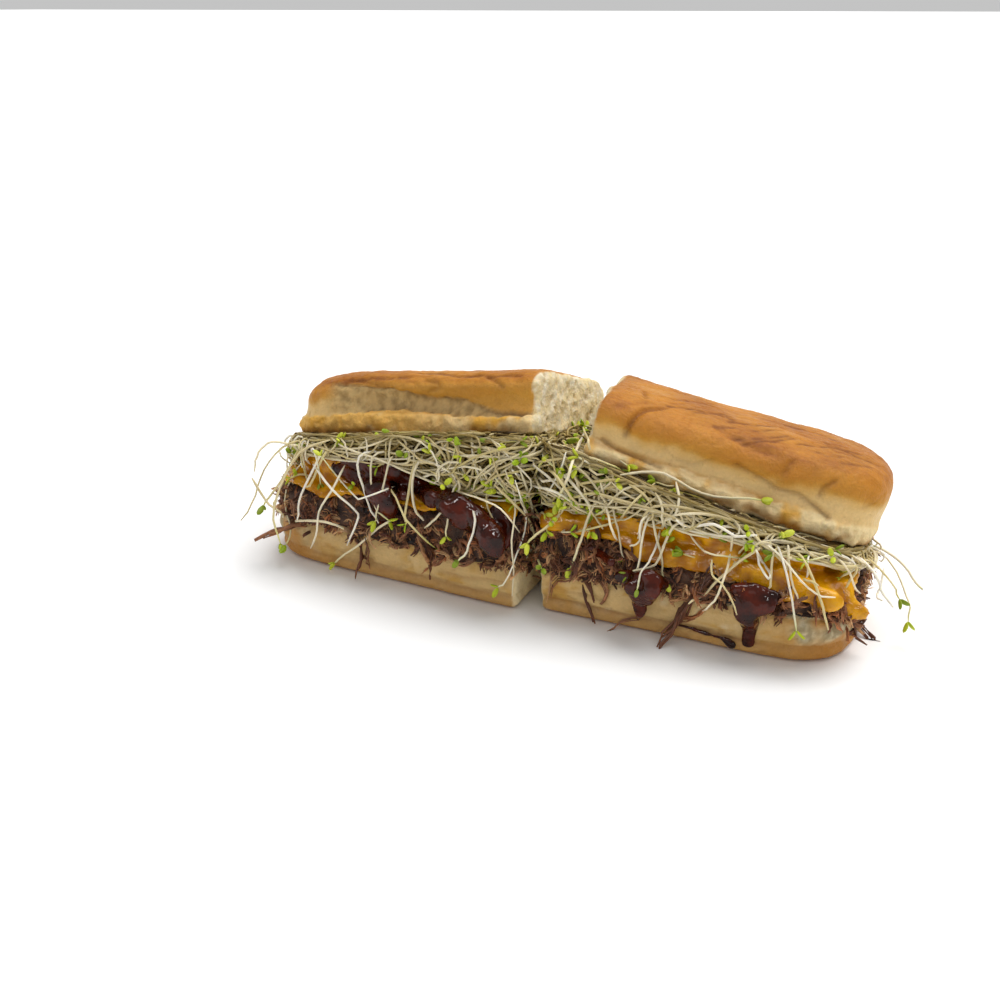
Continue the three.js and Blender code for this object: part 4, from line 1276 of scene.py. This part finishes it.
# Stems that hang in front of the filling, from where they leave the heap, as pixels of the photograph,
# how far they stand off, and whether seed leaves show at their end
HANGING_STEMS = {
    "left": [
        ([(386, 442), (386, 478), (394, 500), (410, 532), (432, 556)], 5, True),
        ([(395, 486), (384, 490), (362, 497), (357, 494), (345, 478), (325, 452)], 5, True),
        ([(392, 520), (378, 528), (358, 545), (340, 556), (335, 562)], 5, True),
        ([(313, 464), (332, 490), (354, 512), (356, 524), (346, 548)], 5, False),
        ([(345, 465), (332, 490), (318, 512), (316, 530), (308, 549)], 4, False),
        ([(308, 520), (296, 521), (325, 522), (345, 533)], 4, False),
        ([(252, 478), (266, 500), (282, 512), (286, 518)], 4, False),
        ([(330, 440), (300, 452), (280, 488), (272, 520), (276, 545)], 4, True),
        ([(322, 444), (296, 470), (284, 500), (290, 530), (284, 543)], 4, True),
        ([(300, 440), (282, 448), (264, 470), (256, 495), (243, 520)], 5, False),
        ([(300, 446), (272, 442), (256, 452), (248, 470)], 5, False),
        ([(470, 500), (474, 520), (468, 545), (456, 560)], 5, True),
        ([(520, 470), (532, 505), (538, 540), (546, 563)], 6, True),
        ([(515, 480), (526, 520), (516, 555), (505, 580), (496, 585)], 6, True),
        ([(505, 470), (515, 500), (512, 540), (514, 572), (511, 600)], 5, False),
        ([(430, 470), (450, 488), (486, 500), (506, 512), (520, 530)], 5, False),
        ([(416, 458), (440, 466), (455, 478), (450, 490), (438, 490)], 4, False),
        ([(505, 478), (520, 492), (536, 510), (548, 532)], 5, True),
        ([(495, 485), (515, 505), (530, 525), (536, 550)], 6, False),
        ([(530, 468), (541, 486), (548, 505), (552, 520)], 6, True),
        ([(512, 470), (530, 484), (552, 492), (575, 505)], 6, True),
        ([(540, 462), (558, 478), (570, 498), (580, 512)], 6, False),
        ([(520, 500), (530, 520), (534, 545), (528, 560)], 7, False),
    ],
    "right": [
        ([(620, 475), (642, 472), (664, 473), (690, 487), (715, 494), (748, 496), (761, 495)], 4, True),
        ([(676, 482), (678, 500), (672, 515), (662, 522), (661, 530)], 5, False),
        ([(655, 483), (630, 505), (618, 520), (588, 530), (540, 540)], 5, True),
        ([(584, 488), (588, 505), (594, 520), (599, 533)], 6, False),
        ([(566, 452), (560, 472), (550, 490), (541, 508)], 6, True),
        ([(580, 440), (572, 462), (565, 480), (556, 500)], 6, True),
        ([(560, 445), (575, 450), (598, 458), (625, 470)], 5, True),
        ([(590, 450), (588, 440), (584, 428)], 3, True),
        ([(578, 448), (582, 438), (588, 430)], 3, True),
        ([(560, 470), (566, 500), (560, 515), (542, 532), (533, 540)], 6, True),
        ([(600, 480), (606, 505), (612, 530), (617, 542)], 5, False),
        ([(676, 520), (690, 527), (716, 526), (740, 538), (764, 540)], 4, False),
        ([(660, 530), (656, 548), (650, 560), (642, 572), (640, 586)], 5, True),
        ([(690, 535), (700, 548), (712, 556), (745, 560)], 5, True),
        ([(733, 533), (730, 552), (724, 575), (712, 600), (698, 612)], 5, False),
        ([(760, 548), (740, 562), (722, 580), (706, 598), (693, 606)], 6, False),
        ([(712, 560), (712, 575), (724, 590), (740, 617)], 6, False),
        ([(756, 550), (762, 562), (770, 575), (768, 580), (760, 568), (755, 552)], 5, False),
        ([(788, 545), (789, 560), (792, 580), (800, 606)], 5, False),
        ([(776, 556), (790, 568), (800, 582), (811, 590)], 4, False),
        ([(746, 545), (736, 556), (730, 567), (742, 552)], 4, True),
        ([(840, 560), (850, 572), (856, 588), (862, 592), (868, 585)], 4, False),
        ([(858, 556), (872, 570), (880, 586), (890, 600)], 5, False),
        ([(868, 558), (884, 572), (896, 586), (902, 596)], 6, True),
        ([(866, 548), (884, 556), (896, 570), (906, 590), (912, 605), (911, 622)], 5, True),
        ([(868, 544), (888, 552), (904, 566), (914, 582), (923, 590)], 5, True),
        ([(884, 568), (880, 585), (874, 600), (878, 606)], 5, False),
    ],
}


# Seed leaves that show in the heap's face, as pixels of the photograph
LEAF_SPOTS = {
    "left": [
        (337, 439), (404, 455), (427, 442), (454, 440), (461, 457), (490, 459), (511, 476), (491, 486),
        (496, 492), (464, 475), (533, 473), (541, 495), (529, 507), (532, 517), (297, 475), (290, 478),
        (377, 467), (444, 485), (353, 485), (551, 447), (545, 515), (520, 462), (506, 448),
    ],
    "right": [
        (584, 425), (588, 431), (580, 436), (578, 457), (576, 468), (573, 495), (608, 472), (617, 482),
        (642, 498), (655, 482), (603, 515), (590, 533), (571, 532), (683, 554), (673, 551), (668, 541),
        (748, 531), (747, 543), (754, 546), (782, 536), (835, 549), (832, 557), (562, 470), (566, 442),
        (596, 490), (628, 466), (560, 508),
    ],
}


def lying_stems(half, random, layer):
    """Stems that wander through the wall of the heap, mostly along it, and how high up it they are."""
    counts, (near, far), steep, curled = layer
    paths, heights = [], []
    for count, (start, end) in zip(counts, STEM_STRETCHES):
        around = random.uniform(start, end, count) * HEAP_LENGTH
        foot = heap_wall(half, around, np.zeros(count), np.zeros(count))
        room = heap_wall(half, around, np.ones(count), np.zeros(count))[:, 2] - foot[:, 2]
        length = random.uniform(22, 62, count)[:, None]
        angle = half["stem_slope"] + random.normal(size=(count, 1)) * steep
        angle = angle + math.pi * random.integers(2, size=(count, 1))
        hook = np.linspace(0, 1, STEM_STEPS) ** 3 * random.normal(size=(count, 1)) * 9 * curled
        angle = angle + random.normal(size=(count, 1)) * curled * np.arange(STEM_STEPS) + hook
        angle = angle + np.cumsum(random.normal(size=(count, STEM_STEPS)) * 0.1, axis=1)
        step = length / (STEM_STEPS - 1)
        travel = np.cumsum(step * np.cos(angle), axis=1)
        rise = np.cumsum(step * np.sin(angle), axis=1)
        around = around[:, None] + travel - travel.mean(axis=1, keepdims=True)
        lowest = heap_edge(half, around)
        climb = (rise - rise.mean(axis=1, keepdims=True)) / room[:, None]
        up = random.uniform(-0.05, 1.02, (count, 1)) + climb
        up = lowest + (1 - lowest) * (0.5 + 0.56 * np.tanh(1.7 * (up - 0.5)))
        out = random.uniform(near, far, (count, 1))
        out = out + np.cumsum(random.normal(size=(count, STEM_STEPS)) * 0.3, axis=1)
        paths.append(heap_wall(half, around, up, np.clip(out, -2.6, 4.8)))
        heights.append(up)
    return np.concatenate(paths), np.concatenate(heights)


def roof_stems(half, random, count):
    """Stems that lie over the top of the heap, along its front and its cut, where no bread covers it."""
    around = random.uniform(-0.16, 0.4, count)[:, None] * HEAP_LENGTH
    angle = random.normal(size=(count, 1)) * 0.6 + math.pi * random.integers(2, size=(count, 1))
    angle = angle + random.normal(size=(count, 1)) * 0.07 * np.arange(STEM_STEPS)
    angle = angle + np.cumsum(random.normal(size=(count, STEM_STEPS)) * 0.14, axis=1)
    step = random.uniform(15, 45, count)[:, None] / (STEM_STEPS - 1)
    inward = random.uniform(-1, 15, (count, 1)) + np.cumsum(step * np.sin(angle), axis=1)
    inward = np.clip(inward, -2, 20)
    lump = np.cumsum(random.normal(size=(count, STEM_STEPS)) * 0.012, axis=1)
    up = random.uniform(0.84, 1.02, (count, 1)) + lump
    up = np.minimum(up, np.where(inward > ROOF_BARE, 0.97, 1.14))
    return heap_wall(half, around + np.cumsum(step * np.cos(angle), axis=1), up, -inward)


def flaring_stems(half, count, random):
    """Stems that leave the outer end of the heap and fall outside it."""
    around = random.uniform(0.29, 0.5, count) * HEAP_LENGTH
    sweep = random.normal(size=count) * 7
    reach = random.uniform(4.5, 9.5, count)
    root = heap_wall(half, around, random.uniform(0.2, 0.95, count), np.full(count, -2.0))
    rise = heap_wall(half, around + 0.5 * sweep, random.uniform(0.5, 1.0, count), 0.7 * reach)
    fall = heap_wall(half, around + sweep, random.uniform(0.1, 0.8, count), reach)
    low = heap_wall(half, around + 0.8 * sweep, random.uniform(-0.9, 0.4, count), 0.75 * reach)
    return smooth_paths(np.stack([root, rise, fall, low], axis=1), STEM_STEPS)


def leafy_sprigs(pixels, solids, random):
    """Short stems that come out of the heap and end in front of it at pixels of the photograph."""
    tips = seen(pixels, solids, 4.0)
    root = tips + random.normal(size=tips.shape) * (6, 1.5, 1.5) + (0, 7, -2)
    bend = (root + tips) / 2 + random.normal(size=tips.shape) * (1.5, 0.8, 1) + (0, -1, 0.5)
    return smooth_paths(np.stack([root, bend, tips], axis=1), STEM_STEPS)


def drooping_stems(half, count, random):
    """Stems that leave the heap's front, arch out and hang over the cheese."""
    u = random.uniform(3, HALF_LENGTH - 8, count)
    edge = heap_edge(half, u)
    sweep = random.normal(size=count) * 7
    out = random.uniform(3.5, 6, count)
    start = edge + (1 - edge) * random.uniform(0.2, 0.7, count)
    root = heap_wall(half, u - sweep, start, np.full(count, -2.0))
    lip = heap_wall(half, u, edge + 0.1, out)
    hang = filling_point(half, u, random.uniform(-0.8, -0.66, count), out)
    hang[:, 0] += 0.6 * sweep
    fall = [0.6 * sweep, -random.uniform(0, 1.5, count), -random.uniform(2, 11, count)]
    low = hang + np.stack(fall, axis=1)
    return smooth_paths(np.stack([root, lip, hang, low], axis=1), STEM_STEPS)


BOX_SPARE = 0.025  # share of the CAD box's size by which a piece may pass it
FLOOR_GAP = 0.15  # millimetres


def kept_inside(points):
    """Draws back points that pass the CAD box by more than they may."""
    low, high = (np.array(corner) / MM for corner in cad_box)
    spare = BOX_SPARE * (high - low)
    return np.clip(points, [low[0] - spare[0], low[1] - spare[1], FLOOR_GAP], high + spare)


def seed_leaves(tips, headings, random, painted_shading):
    """A pair of small oval leaves at each tip, darkened by the given factor as painted shade."""
    parts = []
    for tip, heading in zip(tips, headings):
        across = unit(np.cross(heading, random.normal(size=3)))
        up = np.cross(heading, across)
        size = LEAF_SIZE * random.uniform(0.75, 1.2)
        tint = LEAF_TINTS[random.integers(len(LEAF_TINTS))] * painted_shading
        for way in (-1, 1):
            along = unit(heading + way * random.uniform(0.3, 1.1) * across)
            flat = unit(across - (across @ along) * along)
            axes = np.stack([along, np.cross(along, flat), flat])
            points, groups = ball(np.zeros(3), size, 6, 8)
            cupped = points + np.array([1.0, 0, 0]) * size[0]
            cupped[:, 2] += 0.10 * way * (cupped[:, 0] - size[0]) ** 2 / size[0]
            parts.append((tip + cupped @ axes + 0.1 * up, groups, tint))
    return parts


def heap_core(half):
    """A dark sheet behind the heap's stems: painted shade inside the heap."""
    steps, levels = 160, 9
    around = np.linspace(0, HEAP_LENGTH, steps, endpoint=False)[None, :].repeat(levels, axis=0)
    up = np.linspace(-0.04, 0.78, levels)[:, None].repeat(steps, axis=1)
    wall = heap_wall(half, around[:, :: half["side"]], up, np.full(up.shape, -3.0))
    flat = wall.reshape(-1, 3)
    wall[..., 0] += 0.8 * noise(flat, 5, 92).reshape(wall.shape[:2])
    wall[..., 1] += 0.8 * noise(flat, 5, 93).reshape(wall.shape[:2])
    points, groups = loft(wall)
    return points, groups, mixed(linear("34270b"), linear("5e4e26"), smooth(noise(points, 4, 91), -0.5, 0.5))


def stem_tubes(paths, leafy, radius, painted_shading, random):
    """Stems as tubes, green towards a tip with leaves. Their painted shade, a factor for each, may differ
    along it.
    """
    count = len(paths)
    radii = random.uniform(*radius, count)[:, None] * np.linspace(1.1, 0.85, STEM_STEPS)
    radii[:, 0] *= 0.5
    radii[:, -1] *= 0.6
    points, groups = tubes(paths, radii, STEM_SIDES)
    tints = any_of(STEM_TINTS, random, count)[:, None]
    lit = np.broadcast_to(painted_shading, paths.shape[:2])[..., None]
    # Painted shade: tints are darkened by the factor, green and blue faster, for depth in the heap.
    tints = tints * lit**STEM_SHADE
    tints = tints * random.uniform(0.85, 1.05, (count, 1, 1))
    green = 0.6 * np.linspace(0, 1, STEM_STEPS)[None, :, None] ** 6 * leafy[:, None, None]
    tints = tints * (1 - green) + LEAF_TINTS[2] * green
    return points, groups, np.repeat(tints.reshape(-1, 3), STEM_SIDES, axis=0)


def leafy_stems(paths, leafy, radius, painted_shading, leaf_painted_shading, random):
    """Stems, with seed leaves at the tips of the leafy ones, as parts of the heap."""
    tubes_and_tints = stem_tubes(paths, leafy, radius, painted_shading, random)
    headings = unit(paths[:, -1] - paths[:, -2])
    return [tubes_and_tints, *seed_leaves(paths[leafy, -1], headings[leafy], random, leaf_painted_shading)]


def sprouts(name, half, material, solids):
    random = np.random.default_rng(200 + half["seed"])
    node = f"sprouts_{name}"
    parts = [heap_core(half)]
    for *layer, radius, painted_shading in STEM_LAYERS:
        paths, heights = lying_stems(half, random, layer)
        near_cut = 1 - smooth(np.abs(paths[:, -1, 0] - OFFSET[0]), 12, 45)
        leafy = random.random(len(paths)) < (0.05 + 0.2 * painted_shading) * (1 + 1.6 * near_cut)
        leafy *= heights[:, -1] < 0.85
        # Painted shade: deeper layers are darker, with their leaves, and stems high up under the bread darker
        # still.
        shaded = painted_shading * (1 - 0.6 * smooth(heights, 0.8, 1.05))
        parts += leafy_stems(paths, leafy, radius, shaded, 0.5 + 0.5 * painted_shading, random)
    paths = roof_stems(half, random, ROOF_STEMS)
    leafy = random.random(len(paths)) < 0.12
    # Painted shade on the stems over the heap's top, under the bread.
    shaded = random.uniform(0.35, 0.8, (len(paths), 1))
    parts += leafy_stems(paths, leafy, (0.36, 0.54), shaded, 0.8, random)
    paths = leafy_sprigs(LEAF_SPOTS[name], solids, random)
    parts += leafy_stems(paths, np.full(len(paths), True), (0.3, 0.46), 0.85, 1.0, random)
    drooping = drooping_stems(half, DROOPING_STEMS, random)
    flaring = flaring_stems(half, half["flares"], random)
    leafy = random.random(len(drooping) + len(flaring)) < 0.4
    hanging, with_leaves = [], []
    for pixels, proud, leaves in HANGING_STEMS[name]:
        hanging.append(smooth_paths(seen(pixels, solids, proud)[None], STEM_STEPS)[0])
        with_leaves.append(leaves)
    paths = np.concatenate([drooping, flaring, hanging])
    sway = 0.3 * np.cumsum(random.normal(size=paths.shape), axis=1)
    paths = paths + sway * np.linspace(0, 1, STEM_STEPS)[:, None]
    leafy = np.concatenate([leafy, with_leaves])
    parts += leafy_stems(paths, leafy, (0.34, 0.54), 1.0, 1.0, random)
    points, groups, colours = joined(parts)
    piece = make_piece(f"sprout_heap_{name}", kept_inside(points), groups, material, colours)
    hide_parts(node)
    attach(piece, "root")
    return piece


# Stage, lights and camera

FLOOR_REACH = 40000.0  # millimetres each way
WORLD_STRENGTH = 0.55


def stage():
    floor_material, _, _ = new_material("floor")
    corners = FLOOR_REACH * np.array([[-1, -1, 0], [1, -1, 0], [1, 1, 0], [-1, 1, 0]])
    floor = make_piece("floor", corners, [np.array([[0, 1, 2, 3]])], floor_material, shade=False)
    world = bpy.data.worlds.new("world")
    world.use_nodes = True
    background = world.node_tree.nodes["Background"]
    background.inputs["Color"].default_value = (1, 1, 1, 1)
    background.inputs["Strength"].default_value = WORLD_STRENGTH
    bpy.context.scene.world = world
    bpy.context.scene.view_settings.view_transform = "Standard"


def strip_light(name, place, target, length, width, power):
    """A long panel that shows in glossy surfaces alone."""
    lamp = bpy.data.lights.new(name, "AREA")
    lamp.shape = "RECTANGLE"
    lamp.size = length * MM
    lamp.size_y = width * MM
    lamp.energy = power
    aim(lamp, place, target).visible_diffuse = False


def sky_light(name, place, target, spread, strength):
    lamp = bpy.data.lights.new(name, "SUN")
    lamp.angle = math.radians(spread)
    lamp.energy = strength
    aim(lamp, place, target)


def aim(lamp, place, target):
    holder = bpy.data.objects.new(lamp.name, lamp)
    holder.location = Vector(place) * MM
    direction = (Vector(target) - Vector(place)).normalized()
    holder.rotation_euler = direction.to_track_quat("-Z", "Y").to_euler()
    bpy.context.scene.collection.objects.link(holder)
    return holder


def camera():
    lens = bpy.data.cameras.new("camera")
    lens.sensor_width = SENSOR_MM
    lens.lens = FOCAL_PIXELS / IMAGE_SIZE * SENSOR_MM
    lens.clip_start = 0.01
    lens.clip_end = 200
    holder = bpy.data.objects.new("camera", lens)
    holder.location = EYE_POINT * MM
    holder.rotation_mode = "QUATERNION"
    holder.rotation_quaternion = EYE_TURN.to_quaternion()
    bpy.context.scene.collection.objects.link(holder)
    bpy.context.scene.camera = holder


camera()
stage()
sky_light("sky", (150, 260, 700), (0, 0, 0), spread=50, strength=2.95)
strip_light("front_strip", (-200, -420, 420), (0, 0, 40), length=300, width=40, power=1.6)
strip_light("middle_strip", (20, -260, 580), (0, 0, 40), length=320, width=34, power=1.4)
strip_light("side_strip", (380, -240, 400), (40, 0, 40), length=160, width=34, power=0.6)

bread = bread_material()
fibres = {"scale": 1600.0, "Detail": 5.0, "Distortion": 1.5}
meat = tinted_material("beef", {"scale": 700.0, "Detail": 6.0, "Roughness": 0.7}, 0.55, 1.5, fibres, 0.0005)
dimples = {"scale": 420.0, "Detail": 3.0}
melted = tinted_material("melted_cheese", {"scale": 110.0, "Detail": 4.0}, 0.85, 1.15, dimples, 0.0006)
glossy = sauce_material()
stems = tinted_material("sprouts", {"scale": 500.0, "Detail": 3.0}, 0.85, 1.12)
for half_name, half_facts in HALVES.items():
    half_facts["heap"] = heap_loop(half_facts)
    fillings = surface(*(f"{kind}_{half_name}" for kind in ("bottom_bread", "beef", "cheese")))
    banked = surface(*(f"{kind}_{half_name}" for kind in ("bottom_bread", "beef", "cheese", "sprouts")))
    everything = surface(*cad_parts)
    top_bread(half_name, half_facts, bread)
    bottom_bread(half_name, half_facts, bread)
    trails = sauce_trails(half_name, banked)
    beef(half_name, half_facts, meat, fillings, trails)
    sauce(half_name, glossy, trails)
    cheese(half_name, half_facts, melted, fillings)
    sprouts(half_name, half_facts, stems, everything)
